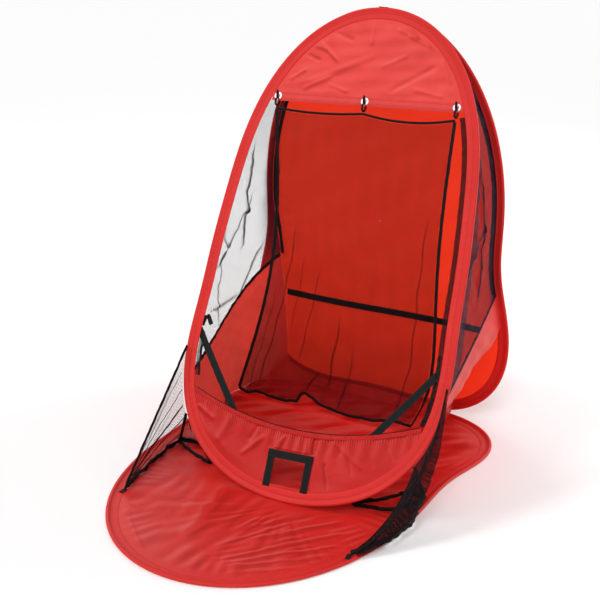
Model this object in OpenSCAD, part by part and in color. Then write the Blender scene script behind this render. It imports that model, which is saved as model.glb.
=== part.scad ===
// Pop-up golf chipping net: three steel hoops in fabric sleeves, a target net and two catch walls.
// The origin is the middle of the floor panel, on the ground. Y runs to the rear, Z up.

/* [Floor hoop] */
// Length of the floor hoop from its front edge to the rear seam
floor_l = 1130; // [1000:5:1300]
// Egg shape of the floor hoop
floor_egg = -0.65; // [-0.68:0.01:-0.6]
// Oval shape of the floor hoop
floor_oval = 0.15; // [0.12:0.01:0.2]
// Shoulders of the floor hoop
floor_shoulder = -0.196; // [-0.21:0.002:-0.17]
// Squareness of the floor hoop
floor_square = 0.1; // [0.08:0.005:0.11]

/* [Back hoop] */
// Length of the back hoop from the rear seam to the apex
back_l = 1148; // [1050:5:1250]
// Angle by which the back hoop leans forward
back_lean = 3.1; // [1:0.1:6]
// Egg shape of the back hoop
back_egg = 0.085; // [0.06:0.005:0.1]
// Oval shape of the back hoop
back_oval = 0.212; // [0.18:0.002:0.24]
// Shoulders of the back hoop
back_shoulder = 0.106; // [0.09:0.002:0.12]
// Squareness of the back hoop
back_square = -0.033; // [-0.04:0.001:0]
// Corner fullness of the back hoop
back_corner = 0.0325; // [0.02:0.0005:0.04]

/* [Front hoop] */
// Length of the front hoop from its foot to the apex
front_l = 1318; // [1250:2:1400]
// Sideways turn of the front hoop about the apex
front_turn = 3.3; // [0:0.1:4]
// Egg shape of the front hoop
front_egg = 0.094; // [0.06:0.002:0.12]
// Oval shape of the front hoop
front_oval = 0.294; // [0.26:0.002:0.31]
// Shoulders of the front hoop
front_shoulder = 0.079; // [0.06:0.001:0.09]
// Squareness of the front hoop
front_square = 0.025; // [0.01:0.001:0.03]
// Corner fullness of the front hoop
front_corner = 0.025; // [0.01:0.001:0.03]

/* [Hoop sleeve and steel band] */
// Width of the fabric sleeve
sleeve_w = 33; // [28:1:40]
// Thickness of the sleeve bead round the steel band
sleeve_t = 9; // [8:0.5:12]
// Thickness of the stitched hem of the sleeve
sleeve_hem_t = 3.2; // [2.4:0.2:4]
// Width of the steel band, across the hoop plane
band_w = 5; // [4:0.5:6]
// Thickness of the steel band
band_t = 1.6; // [1:0.2:2.4]
// Length of the crimped ferrule that joins the ends of the band
ferrule_l = 60; // [40:5:90]

/* [Fabric] */
// Thickness of the woven panels
panel_t = 1.2; // [0.8:0.2:2]
// Thickness of the netting
mesh_t = 1.4; // [1:0.2:2]
// Width of the binding tape
binding_w = 11; // [8:1:14]
// Thickness of the binding tape, folded over the edge
binding_t = 3; // [2.4:0.2:4]
// Width of the webbing
webbing_w = 20; // [16:1:25]
// Thickness of the webbing
webbing_t = 1.6; // [1.2:0.2:2.4]

/* [Header and target net] */
// Height of the header's lower edge along the front hoop
header_v = 1045; // [1020:5:1060]
// Width of the doubled hem of the header
header_hem_w = 24; // [22:1:30]
// Distance between neighbouring eyelets
eyelet_pitch = 254; // [220:2:260]
// Radius of the hole in each eyelet
eyelet_r = 5.5; // [5.5:0.25:6.5]
// Outer radius of each eyelet's flange
eyelet_flange_r = 10.5; // [9.5:0.25:11]
// Radius of the elastic of the hanging rings
ring_wire_r = 1.2; // [0.8:0.1:1.2]
// Middle radius of the hanging rings
ring_r = 11; // [10:0.5:13]
// Height of the target net
net_h = 870; // [800:5:880]
// Sideways reach of the net's lower left corner
net_left = 352; // [260:2:356]
// Sideways reach of the net's lower right corner
net_right = 203; // [190:5:290]
// Bow of the net's left edge towards the middle
net_left_bow = 50; // [0:2:60]
// Bow of the lower part of the net's right edge to the outside
net_right_bow = 36; // [0:2:40]
// Sag of the net's top edge between the rings
net_sag = 14; // [0:1:30]

/* [Pocket and gate] */
// Height of the pocket's hem at its middle, along the front hoop
pocket_v = 178; // [165:1:200]
// Rise of the pocket's hem towards the sides
pocket_rise = 66; // [40:2:90]
// Height of the gathered casing along the hem
casing_h = 13; // [10:1:18]
// Thickness of the gathered casing
casing_t = 5; // [4:0.5:7]
// Number of gathers along the hem
gathers = 56; // [40:2:72]
// Width of the gate between its legs
gate_w = 86; // [70:2:110]
// Height of the gate's opening
gate_h = 66; // [56:2:70]
// Sideways place of the gate
gate_u = -10; // [-20:1:20]

/* [Walls, wings and straps] */
// Height where the left wall leaves the back hoop
left_leave_v = 560; // [480:5:640]
// Height where the right wall leaves the back hoop
right_leave_v = 300; // [260:5:340]
// Sideways place of the left wall at the rear seam
left_foot_u = 297; // [280:1:310]
// Sideways place of the right wall at the rear seam
right_foot_u = 245; // [240:1:260]
// Height of the wall's bound seam on the back panel
wall_seam_v = 395; // [360:5:430]
// Height of the wall's bound seam on the front hoop
wall_seam_front_v = 290; // [275:5:330]
// Outward bulge of the foot of the left wall
left_bulge = 64; // [60:1:70]
// Outward bulge of the foot of the right wall
right_bulge = 6; // [0:2:70]
// Height of the rear strap on the back panel
strap_v = 278; // [250:2:320]
// Height of the diagonal straps' upper ends on the front hoop
brace_v = 402; // [370:2:440]
// Sideways place of the diagonal straps' lower ends
brace_u = 188; // [160:2:210]
// Height of the wings' upper corners on the front hoop
wing_v = 348; // [330:2:380]
// Height where the left wing and wall leave the front hoop
left_free_v = 209; // [190:1:230]
// Height where the right wing leaves the front hoop
right_free_v = 150; // [130:2:200]
// Place of the wings' tips in front of the floor panel's middle
wing_tip_y = 282; // [255:1:290]
// Place of the left wing's rear corner behind the floor panel's middle
left_heel_y = 27; // [0:1:60]
// Place of the right wing's rear corner behind the floor panel's middle
right_heel_y = 72; // [40:2:100]

/* [Hidden] */

fabric_red = [0.86, 0.2, 0.17];
sleeve_red = [0.8, 0.17, 0.14];
webbing_black = [0.09, 0.1, 0.11];
mesh_black = [0.16, 0.14, 0.16];
steel = [0.55, 0.57, 0.6];

hoop_steps = 108;             // points round each hoop
gap = 0.3;                    // clearance between pieces that only touch
floor_shape = [floor_egg, floor_oval, floor_shoulder, floor_square, 0];
back_shape = [back_egg, back_oval, back_shoulder, back_square, back_corner];
front_shape = [front_egg, front_oval, front_shoulder, front_square, front_corner];
band_in = 5.4;                // from the sleeve's outer edge to the band
seam_y = floor_l / 2;
half_stack = sleeve_t / 2 + gap;         // from a hoop's middle plane to the apex hinge
hinge_z = sleeve_t / 2 + 0.5;
back_rise = 2.2;                         // lifts the back hoop's lower corners off the ground

// ---- outlines: radius = 1 + sum of s[k] cos((k + 1) a), a measured from the top ----
function radius(s, a) = 1 + s[0] * cos(a) + s[1] * cos(2 * a) + s[2] * cos(3 * a)
    + s[3] * cos(4 * a) + s[4] * cos(5 * a);
function hoop_at(s, len, a) = let(k = len / (radius(s, 0) + radius(s, 180)), r = radius(s, a))
    [k * r * sin(a), k * (r * cos(a) + radius(s, 180))];
function inset_at(s, len, a, d) =
    let(t = hoop_at(s, len, a + 0.5) - hoop_at(s, len, a - 0.5), n = [t.y, -t.x] / norm(t))
    hoop_at(s, len, a) + d * n;
function outline(s, len, d) = [for (i = [0:hoop_steps - 1]) inset_at(s, len, 360 * i / hoop_steps, d)];
// turn angle at which the right half of a hoop passes height v
function turn_at(s, len, v, lo = 0, hi = 165, n = 24) = n == 0 ? (lo + hi) / 2
    : hoop_at(s, len, (lo + hi) / 2).y > v ? turn_at(s, len, v, (lo + hi) / 2, hi, n - 1)
    : turn_at(s, len, v, lo, (lo + hi) / 2, n - 1);
function edge_u(s, len, v, d) = inset_at(s, len, turn_at(s, len, v), d).x;
function lerp(a, b, t) = a + (b - a) * t;
// the back hoop turns behind the rearmost points of the floor sleeve
hinge_y = max([for (p = outline(floor_shape, floor_l, 0)) p.y]) - seam_y + half_stack + gap;

// ---- places: each hoop's plane has u to the right, v from its foot or seam, n to the front or up ----
function turn_x(p, a) = [p.x, p.y * cos(a) - p.z * sin(a), p.y * sin(a) + p.z * cos(a)];
function back_at(u, v, n) = [0, hinge_y, hinge_z] + turn_x([u, v + back_rise, n], 90 + back_lean);
apex = back_at(0, back_l, half_stack);
// the front hoop stands on the floor panel: its tilt follows from its reach below the apex
front_reach = max([for (p = outline(front_shape, front_l, 0))
    (front_l - p.y) * cos(front_turn) - p.x * sin(front_turn)]);
foot_edge = 1.4;                         // the sleeve's edge stands this much inside its outline
front_tilt = acos((apex.z + foot_edge - panel_t - gap) / front_reach);
function front_at(u, v, n) = let(w = v - front_l)
    apex + turn_x([u * cos(front_turn) - w * sin(front_turn),
                   u * sin(front_turn) + w * cos(front_turn), n + half_stack], 90 - front_tilt);
module on_back() translate([0, hinge_y, hinge_z]) rotate([90 + back_lean, 0, 0])
    translate([0, back_rise, 0]) children();
module on_front() translate(apex) rotate([90 - front_tilt, 0, 0]) rotate([0, 0, front_turn])
    translate([0, -front_l, half_stack]) children();
module on_floor() translate([0, -seam_y, 0]) children();

// ---- solids ----
// closed skin over a row of rings, each ring running anticlockwise as seen from the last one
module skin(rings) {
    k = len(rings[0]);
    n = len(rings);
    sides = [for (i = [0:n - 2], j = [0:k - 1]) let(a = i * k + j, b = i * k + (j + 1) % k)
        each [[a, a + k, b + k], [a, b + k, b]]];
    ends = [[for (j = [0:k - 1]) j], [for (j = [k - 1:-1:0]) (n - 1) * k + j]];
    polyhedron(points = [for (r = rings) each r], faces = concat(sides, ends));
}
// thin sheet through rows of points, t thick along dir; rows run down, points to the left as seen from dir
module sheet(rows, t, dir) {
    n = len(rows);
    m = len(rows[0]);
    k = n * m;
    quads = [for (i = [0:n - 2], j = [0:m - 2]) i * m + j];
    top = [for (j = [0:m - 2]) j];
    side = [for (i = [0:n - 2]) i * m];
    polyhedron(points = [for (s = [0.5, -0.5], r = rows, p = r) p + dir * t * s], faces = concat(
        [for (a = quads) each [[a, a + m + 1, a + 1], [a, a + m, a + m + 1]]],
        [for (a = quads) each [[k + a, k + a + 1, k + a + m + 1], [k + a, k + a + m + 1, k + a + m]]],
        [for (a = top) each [[a, a + 1, k + a + 1], [a, k + a + 1, k + a]]],
        [for (a = top) let(b = a + k - m) each [[b, k + b + 1, b + 1], [b, k + b, k + b + 1]]],
        [for (a = side) each [[a, k + a, k + a + m], [a, k + a + m, a + m]]],
        [for (a = side) let(b = a + m - 1) each [[b, b + m, k + b + m], [b, k + b + m, k + b]]]));
}
// flat tape along a path, w wide along side and t thick along face
module tape(path, w, t, side, face) {
    s = cross(side, face) * (path[1] - path[0]) < 0 ? -side : side;
    skin([for (p = path) [p - s * w / 2 - face * t / 2, p + s * w / 2 - face * t / 2,
                          p + s * w / 2 + face * t / 2, p - s * w / 2 + face * t / 2]]);
}
module ring_slab(s, len, d0, d1, z0, z1) translate([0, 0, z0]) linear_extrude(z1 - z0)
    difference() { polygon(outline(s, len, d0)); polygon(outline(s, len, d1)); }

// fabric sleeve: a bead round the steel band and a flat stitched hem; base 0 lies on the ground
module sleeve(s, len, flat = false) {
    mid = flat ? sleeve_t / 2 : 0;
    hem = flat ? [0, sleeve_hem_t] : [-sleeve_hem_t / 2, sleeve_hem_t / 2];
    channel = band_w / 2 + 0.6;
    difference() {
        union() {
            ring_slab(s, len, 0, sleeve_w, hem[0], hem[1]);
            ring_slab(s, len, 0.8, band_in + 8.5, mid - sleeve_t * 0.36, mid + sleeve_t * 0.36);
            ring_slab(s, len, 2, band_in + 5.5, mid - sleeve_t / 2, mid + sleeve_t / 2);
        }
        ring_slab(s, len, band_in - 1.4, band_in + band_t + 1.4, mid - channel, mid + channel);
    }
}
module band(s, len, mid) ring_slab(s, len, band_in, band_in + band_t, mid - band_w / 2, mid + band_w / 2);
// crimped over the joint of the band, on the inner side of the channel
module ferrule(s, len, mid, a) {
    p = hoop_at(s, len, a);
    along = a == 180 ? [ferrule_l, sleeve_w] : [sleeve_w, ferrule_l];
    intersection() {
        ring_slab(s, len, band_in + band_t + 0.1, band_in + band_t + 1.2, mid - band_w / 2, mid + band_w / 2);
        translate([p.x - along.x / 2, p.y - along.y / 2, mid - band_w]) cube([along.x, along.y, 2 * band_w]);
    }
}

// ---- floor ----
module floor_band() color(steel) on_floor() band(floor_shape, floor_l, sleeve_t / 2);
module floor_ferrule() color(steel) on_floor() ferrule(floor_shape, floor_l, sleeve_t / 2, 180);
module floor_sleeve() color(sleeve_red) on_floor() sleeve(floor_shape, floor_l, true);
module floor_panel() color(fabric_red) on_floor() linear_extrude(panel_t)
    polygon(outline(floor_shape, floor_l, sleeve_w));
// height at which an inset outline passes u, between the turns a0 (in the middle) and a1 (beyond u)
function end_at(s, len, d, u, a0, a1, n = 18) = let(a = (a0 + a1) / 2, p = inset_at(s, len, a, d))
    n == 0 ? p.y : p.x < u ? end_at(s, len, d, u, a, a1, n - 1) : end_at(s, len, d, u, a0, a, n - 1);
// cloth over the rear seam: from the hem of the floor sleeve over both beads to the hem of the back sleeve
seam_in = 19;                 // from the back sleeve's outer edge to the cloth
seam_in_floor = 26;           // from the floor sleeve's outer edge to the cloth
seam_steps = 20;
seam_left = 2 - left_foot_u;   // its ends, just inside the walls
seam_right = right_foot_u - 9;
module rear_seam_tape() color(sleeve_red) {
    us = [for (i = [0:seam_steps]) lerp(seam_right, seam_left, i / seam_steps)];
    lift = panel_t / 2 + gap;
    high = [for (u = us) back_at(u, end_at(back_shape, back_l, seam_in, abs(u), 180, 110), sleeve_hem_t / 2 + lift)];
    low = [for (u = us) [u, end_at(floor_shape, floor_l, seam_in_floor, abs(u), 0, 60) - seam_y, sleeve_hem_t + lift]];
    sheet([high, low], panel_t, [0, -0.75, 0.66]);
}

// sideways place of the walls' rear edges: on the hoop above, drawn in to the rear seam below
wall_inset = 22;
function leave_v(side) = side < 0 ? left_leave_v : right_leave_v;
function wall_u(side, v) = let(top = leave_v(side), t = v / top,
    hoop = edge_u(back_shape, back_l, max(v, top), wall_inset))
    v > top ? hoop : lerp(side < 0 ? left_foot_u : right_foot_u, hoop, t * t);

// ---- back ----
module back_band() color(steel) on_back() band(back_shape, back_l, 0);
module back_ferrule() color(steel) on_back() ferrule(back_shape, back_l, 0, 90);
module back_sleeve() color(sleeve_red) on_back() sleeve(back_shape, back_l);
module back_panel() color(fabric_red) on_back() translate([0, 0, -panel_t / 2])
    linear_extrude(panel_t) polygon(outline(back_shape, back_l, sleeve_w));
strap_left = wall_u(-1, strap_v) - binding_w;
strap_right = wall_u(1, strap_v) - binding_w;
module rear_strap() color(webbing_black) on_back() translate([-strap_left, strap_v - webbing_w / 2, panel_t / 2 + seat])
    cube([strap_left + strap_right, webbing_w, webbing_t]);
tape_half = 15;
module apex_tape() color(sleeve_red) {
    top = back_at(0, back_l + gap, 0);
    rear = back_at(0, back_l + gap, -sleeve_hem_t);
    front = front_at(0, front_l + 1.5, sleeve_t / 2);
    translate([-tape_half, 0, 0]) rotate([90, 0, 90]) linear_extrude(2 * tape_half)
        polygon([[rear.y, rear.z], [top.y, top.z], [front.y, front.z + gap],
                 [front.y, front.z + gap + panel_t], [top.y, top.z + panel_t], [rear.y, rear.z + panel_t]]);
}

// ---- front ----
module front_band() color(steel) on_front() band(front_shape, front_l, 0);
module front_ferrule() color(steel) on_front() ferrule(front_shape, front_l, 0, 180);
module front_sleeve() color(sleeve_red) on_front() sleeve(front_shape, front_l);
header_top = header_v + header_hem_w;
eyelet_v = header_v + header_hem_w / 2;
module front_cut(v0, v1) intersection() {
    polygon(outline(front_shape, front_l, sleeve_w));
    translate([-front_l, v0]) square([2 * front_l, v1 - v0]);
}
module header_panel() color(fabric_red) on_front() translate([0, 0, -panel_t / 2])
    linear_extrude(panel_t) front_cut(header_top, front_l);
module header_hem() color(fabric_red) on_front() difference() {
    translate([0, 0, -panel_t]) linear_extrude(2 * panel_t) front_cut(header_v, header_top);
    for (i = [-1:1]) translate([i * eyelet_pitch, eyelet_v, -5]) cylinder(r = eyelet_r + 1.2 + seat, h = 10, $fn = 40);
}
// two rolled flanges and the barrel between them
module eyelets() color([0.85, 0.85, 0.86]) on_front() for (i = [-1:1])
    translate([i * eyelet_pitch, eyelet_v, 0]) rotate_extrude($fn = 40) {
        translate([eyelet_r, -panel_t - 1 - seat]) square([1.2, 2 * (panel_t + 1 + seat)]);
        for (z = [-panel_t - 1 - seat, panel_t + seat]) translate([eyelet_r, z]) square([eyelet_flange_r - eyelet_r, 1]);
    }

gate_v = sleeve_w + 8;
seat = 0.1;                   // clearance of pieces that are stitched or pressed flat together
// hem of the pocket: low in the middle, rising as the square of the distance
pocket_half = edge_u(front_shape, front_l, pocket_v + pocket_rise, sleeve_w);
function hem_v(u) = pocket_v + pocket_rise * (u / pocket_half) * (u / pocket_half);
hem_steps = 48;
module under_hem(drop) polygon(concat([[-pocket_half - 60, -10]],
    [for (i = [-hem_steps / 2 - 4:hem_steps / 2 + 4]) let(u = 2 * pocket_half * i / hem_steps) [u, hem_v(u) - drop]],
    [[pocket_half + 60, -10]]));
module pocket_panel() color(fabric_red) on_front() difference() {
    translate([0, 0, -panel_t / 2]) linear_extrude(panel_t) intersection() {
        polygon(outline(front_shape, front_l, sleeve_w));
        under_hem(casing_h / 2);
    }
    translate([gate_u - gate_w / 2, gate_v, -panel_t]) cube([gate_w, gate_h, 2 * panel_t]);
}
// casing gathered on its elastic: a wave of small pleats along the hem
function pleat(t) = casing_t / 2 * (0.8 + 0.2 * cos(360 * gathers * t));
module pocket_casing() color(fabric_red) on_front() skin([for (i = [0:gathers * 3])
    let(t = i / gathers / 3, u = lerp(-1, 1, t) * (pocket_half - 7), v = hem_v(u))
    [[u, v - casing_h / 2 + 0.2, -pleat(t)], [u, v + casing_h / 2, -pleat(t)],
     [u, v + casing_h / 2, pleat(t)], [u, v - casing_h / 2 + 0.2, pleat(t)]]]);
module pocket_elastic() color([0.9, 0.88, 0.85]) on_front() {
    half = pocket_half - 11;
    skin([for (i = [0:24]) let(u = lerp(-half, half, i / 24), v = hem_v(u) + casing_h / 2)
        [[u, v + 0.3, -1], [u, v + 2.3, -1], [u, v + 2.3, 1], [u, v + 0.3, 1]]]);
}
module gate_webbing() color(webbing_black) on_front() translate([gate_u, gate_v, panel_t / 2 + seat])
    linear_extrude(webbing_t) difference() {
        translate([-gate_w / 2 - webbing_w, 0]) square([gate_w + 2 * webbing_w, gate_h + webbing_w]);
        translate([-gate_w / 2, -1]) square([gate_w, gate_h + 1]);
    }

// diagonal webbing from the sleeve to the pocket's hem, on the back of the front hoop
brace_n = -casing_t / 2 - gap - webbing_t / 2;
brace_top_u = edge_u(front_shape, front_l, brace_v, 25);
function brace_pts(side) = [[side * brace_top_u, brace_v], [side * brace_u, hem_v(brace_u) - casing_h / 2]];
module brace(side) color(webbing_black) on_front() {
    a = brace_pts(side)[0];
    b = brace_pts(side)[1];
    translate([a.x, a.y, brace_n - webbing_t / 2]) rotate([0, 0, atan2(b.y - a.y, b.x - a.x)])
        translate([0, -webbing_w / 2, 0]) cube([norm(b - a), webbing_w, webbing_t]);
}
module left_brace() brace(-1);
module right_brace() brace(1);
// loose tail of the webbing, turned down behind the brace's upper end
module brace_tab(side) color(webbing_black) on_front() {
    a = brace_pts(side)[0];
    translate([a.x - side * 6, a.y - 8, brace_n - webbing_t * 1.5 - gap]) rotate([0, 0, side * -12])
        translate([-webbing_w / 2, -24, 0]) cube([webbing_w, 34, webbing_t]);
}
module left_brace_tab() brace_tab(-1);
module right_brace_tab() brace_tab(1);

// ---- walls: netting above a bound seam, woven panel below ----
wall_top_gap = 95;            // where the two hoops are far enough apart for the wall to start
wall_foot_z = sleeve_hem_t + 1.5;
rear_n = sleeve_hem_t / 2 + gap;
front_n = -sleeve_t / 2 - gap;
bead_clear = 60;              // below this height the wall stands clear of the bead of the back sleeve
function rear_off(v) = lerp(-front_n + gap, rear_n, max(0, min(1, v / bead_clear - 1)));
function wall_rear(side, v) = let(p = inset_at(back_shape, back_l, turn_at(back_shape, back_l, v), wall_inset))
    v > leave_v(side) ? back_at(side * p.x, p.y, rear_n)
    : back_at(side * wall_u(side, v), v, rear_off(v));
// down the front hoop; on the left the last part leaves it for the floor
left_heel = [-edge_u(floor_shape, floor_l, seam_y + left_heel_y, 41), left_heel_y, wall_foot_z];
function hoop_rear(side, v) = let(p = inset_at(front_shape, front_l, turn_at(front_shape, front_l, v), 10))
    front_at(side * p.x, p.y, front_n);
function wall_front(side, v) = side > 0 || v > left_free_v ? hoop_rear(side, v)
    : lerp(left_heel + [0, 3, 0], hoop_rear(side, left_free_v), v / left_free_v);
function bulge(side) = side < 0 ? left_bulge : right_bulge;
function wall_foot_v(side) = side < 0 ? 0 : 26;
wall_steps = 12;
wall_cols = 9;
function wall_row(side, vb, vf, out) = let(r = wall_rear(side, vb), f = wall_front(side, vf))
    [for (j = [0:wall_cols]) let(t = j / wall_cols) lerp(r, f, t) + [side * out * 6.75 * t * (1 - t) * (1 - t), 0, 0]];
module wall_mesh(side) color(mesh_black) sheet([for (i = [0:wall_steps]) let(t = i / wall_steps)
    wall_row(side, lerp(back_l - wall_top_gap, wall_seam_v, t), lerp(front_l - wall_top_gap, wall_seam_front_v, t),
             bulge(side) * 0.4 * t * t)], mesh_t, [1, 0, 0]);
panel_rows = 6;
module wall_panel(side) color(fabric_red) sheet([for (i = [0:panel_rows]) let(t = i / panel_rows)
    [for (p = wall_row(side, lerp(wall_seam_v, 6, t), lerp(wall_seam_front_v, wall_foot_v(side), t),
                       bulge(side) * lerp(0.4, 1, t))) i == 0 ? p - [0, 0, binding_w * 0.2] : p]],
    panel_t, [1, 0, 0]);
module left_wall_mesh() wall_mesh(-1);
module right_wall_mesh() wall_mesh(1);
module left_wall_panel() wall_panel(-1);
module right_wall_panel() wall_panel(1);
module wall_binding(side) color(webbing_black) tape([for (i = [0:10])
    wall_rear(side, lerp(wall_seam_v, back_l - wall_top_gap, i / 10)) + [side * -binding_w * 0.75, -binding_t / 2, 0]],
    binding_w, binding_t - gap, [1, 0, 0], [0, 1, 0]);
module left_wall_binding() wall_binding(-1);
module right_wall_binding() wall_binding(1);
// on the inner side of the wall, over the seam of netting and panel
module seam_binding(side) color(webbing_black) {
    inward = side * -(mesh_t / 2 + 8 * gap);
    row = wall_row(side, wall_seam_v, wall_seam_front_v, bulge(side) * 0.4);
    tape([for (p = row) lerp(p, row[2], 0.04) + [inward, 0, 0]], binding_t / 2, binding_w, [-1, 0, 0], [0, 0, 1]);
}
module left_seam_binding() seam_binding(-1);
module right_seam_binding() seam_binding(1);

// ---- wings: netting from the front hoop's side forward to a tip on the floor sleeve ----
right_heel = [edge_u(floor_shape, floor_l, seam_y + right_heel_y, 24), right_heel_y, wall_foot_z];
// the right tip is tied down on the floor sleeve's bead, the left one just inside its hem
function tip_in(side) = side < 0 ? 38 : 19.8;
function tip_rest(side) = side < 0 ? sleeve_hem_t : sleeve_t;
function wing_tip(side) = [side * edge_u(floor_shape, floor_l, seam_y - wing_tip_y, tip_in(side)), -wing_tip_y,
                           tip_rest(side) + 2];
function free_v(side) = side < 0 ? left_free_v : right_free_v;
function heel(side) = side < 0 ? left_heel - [0, 3, 0] : right_heel;
// the wing's rear edge: on the front of the hoop above, free between hoop and floor below
wing_n = sleeve_t / 2 + gap;
function wing_hoop(side, t) = let(v = lerp(wing_v, free_v(side), t),
    p = inset_at(front_shape, front_l, turn_at(front_shape, front_l, v), lerp(6, -4, t)))
    front_at(side * p.x, p.y, lerp(wing_n, 0, t * t));
function wing_root(side, t) = t < 0.5 ? wing_hoop(side, 2 * t) : lerp(wing_hoop(side, 1), heel(side), 2 * t - 1);
wing_rows = 10;
wing_cols = 5;
module wing_mesh(side) color(mesh_black) sheet([for (i = [0:wing_rows]) let(t = i / wing_rows,
    lift = [0, 0, t * (binding_w + 2 * gap)])
    [for (j = [0:wing_cols]) lerp(wing_root(side, t), wing_tip(side), 0.92 * j / wing_cols) + lift]],
    mesh_t, [1, 0, 0]);
module left_wing_mesh() wing_mesh(-1);
module right_wing_mesh() wing_mesh(1);
// one binding down the free edge to the tip, one along the floor
wing_out = [0, -0.67, 0.74];
module wing_binding(side) color(webbing_black) {
    ahead = wing_out * (binding_w / 2 + 2 * gap);
    tape([for (i = [0:6]) lerp(wing_root(side, 0), wing_tip(side), lerp(0.01, 0.97, i / 6)) + ahead],
         binding_t, binding_w, [1, 0, 0], wing_out);
    above = [0, 0, binding_w / 2 + gap];
    tape([for (i = [0:6]) lerp(wing_tip(side), heel(side), lerp(0.12, 1, i / 6)) + above],
         binding_t, binding_w, [1, 0, 0], [0, 0, 1]);
}
module left_wing_binding() wing_binding(-1);
module right_wing_binding() wing_binding(1);
module wing_tab(side) color(webbing_black) {
    p = wing_tip(side);
    translate([p.x - webbing_w / 2, p.y - 22, tip_rest(side) + gap]) cube([webbing_w, 30, webbing_t]);
}
module left_wing_tab() wing_tab(-1);
module right_wing_tab() wing_tab(1);

// ---- target net ----
ring_drop = eyelet_r - ring_wire_r - gap;        // the rings rest in the lower edge of the holes
module net_rings() color(webbing_black) on_front() for (i = [-1:1])
    translate([i * eyelet_pitch, eyelet_v - ring_drop - ring_r, 0]) rotate([0, 90, 0])
        rotate_extrude($fn = 32) translate([ring_r, 0]) circle(r = ring_wire_r, $fn = 16);
function ring_foot(i) = front_at(i * eyelet_pitch, eyelet_v - ring_drop - 2 * ring_r - ring_wire_r - gap, 0)
    - [0, 0, binding_w / 2];
net_y = ring_foot(0).y;
net_top_z = ring_foot(0).z;
net_low_z = net_top_z - net_h;
function net_top(t) = let(s = t * 2, k = s < 1 ? 0 : 1, f = s - k, a = ring_foot(k - 1), b = ring_foot(k))
    lerp(a, b, f) - [0, 0, 4 * net_sag * f * (1 - f) * (k == 0 ? 0.5 : 1)];
function net_low(t) = let(x = lerp(-net_left, net_right, t)) [x, net_y + 2, net_low_z + 5 * sin(t * 540)];
net_cols = 16;
net_rows = 8;
net_in = 0.0135;              // from the net's corners to the edge of the netting, as a part of its width
// the side edges hang slack: the left one bows inward, the right one outward near its foot
function net_bow(t, s) = net_left_bow * sin(180 * s) * max(0, 1 - 2 * t)
    + net_right_bow * sin(180 * s * s * s) * max(0, 2 * t - 1);
function net_pt(t, s) = lerp(net_top(t), net_low(t), s) + [net_bow(t, s), 3 * sin(s * 180) * sin(t * 900), 0];
module target_net() color(mesh_black) sheet([for (i = [0:net_rows]) let(s = lerp(0.0061, 0.9939, i / net_rows))
    [for (j = [0:net_cols]) net_pt(lerp(net_in, 1 - net_in, j / net_cols), s)]], mesh_t, [0, 1, 0]);
module net_top_binding() color(webbing_black) tape([for (j = [0:net_cols])
    net_pt(j / net_cols, 0)], binding_w * 0.9, binding_t, [0, 0, 1], [0, -1, 0]);
module net_bottom_binding() color(webbing_black) tape([for (j = [0:net_cols])
    net_pt(j / net_cols, 1)], binding_w * 0.9, binding_t, [0, 0, 1], [0, -1, 0]);
module net_side(t) color(webbing_black) tape([for (i = [0:net_rows])
    net_pt(t, lerp(0.01, 0.99, i / net_rows))], binding_t, binding_w * 0.9, [0, 1, 0], [1, 0, 0]);
module net_left_binding() net_side(0);
module net_right_binding() net_side(1);

floor_band();
floor_ferrule();
floor_sleeve();
floor_panel();
rear_seam_tape();
back_band();
back_ferrule();
back_sleeve();
back_panel();
rear_strap();
apex_tape();
front_band();
front_ferrule();
front_sleeve();
header_panel();
header_hem();
eyelets();
pocket_panel();
pocket_casing();
pocket_elastic();
gate_webbing();
left_brace();
right_brace();
left_brace_tab();
right_brace_tab();
left_wall_mesh();
right_wall_mesh();
left_wall_panel();
right_wall_panel();
left_wall_binding();
right_wall_binding();
left_seam_binding();
right_seam_binding();
left_wing_mesh();
right_wing_mesh();
left_wing_binding();
right_wing_binding();
left_wing_tab();
right_wing_tab();
net_rings();
target_net();
net_top_binding();
net_left_binding();
net_right_binding();
net_bottom_binding();
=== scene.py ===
from math import cos, hypot, pi, radians, sin, tau

import bmesh
import bpy
import numpy as np
from mathutils import Matrix, Vector


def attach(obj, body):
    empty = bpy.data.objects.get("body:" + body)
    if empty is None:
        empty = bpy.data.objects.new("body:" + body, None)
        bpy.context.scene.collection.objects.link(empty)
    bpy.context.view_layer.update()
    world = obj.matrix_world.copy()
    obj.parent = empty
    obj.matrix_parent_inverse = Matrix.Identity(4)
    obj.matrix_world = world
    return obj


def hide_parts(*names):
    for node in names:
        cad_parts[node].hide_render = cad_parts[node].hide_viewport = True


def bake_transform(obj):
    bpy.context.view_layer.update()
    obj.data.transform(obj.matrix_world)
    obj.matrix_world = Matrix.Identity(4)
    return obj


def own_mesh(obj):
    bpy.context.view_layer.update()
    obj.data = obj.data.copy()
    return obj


# Pop-up chipping net: three hoops in red sleeves, a hanging target net, mesh walls and wings.
# Metres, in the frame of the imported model: X right, Y to the rear seam, Z up.
# Only the tables of waves and creases are in millimetres.

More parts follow.
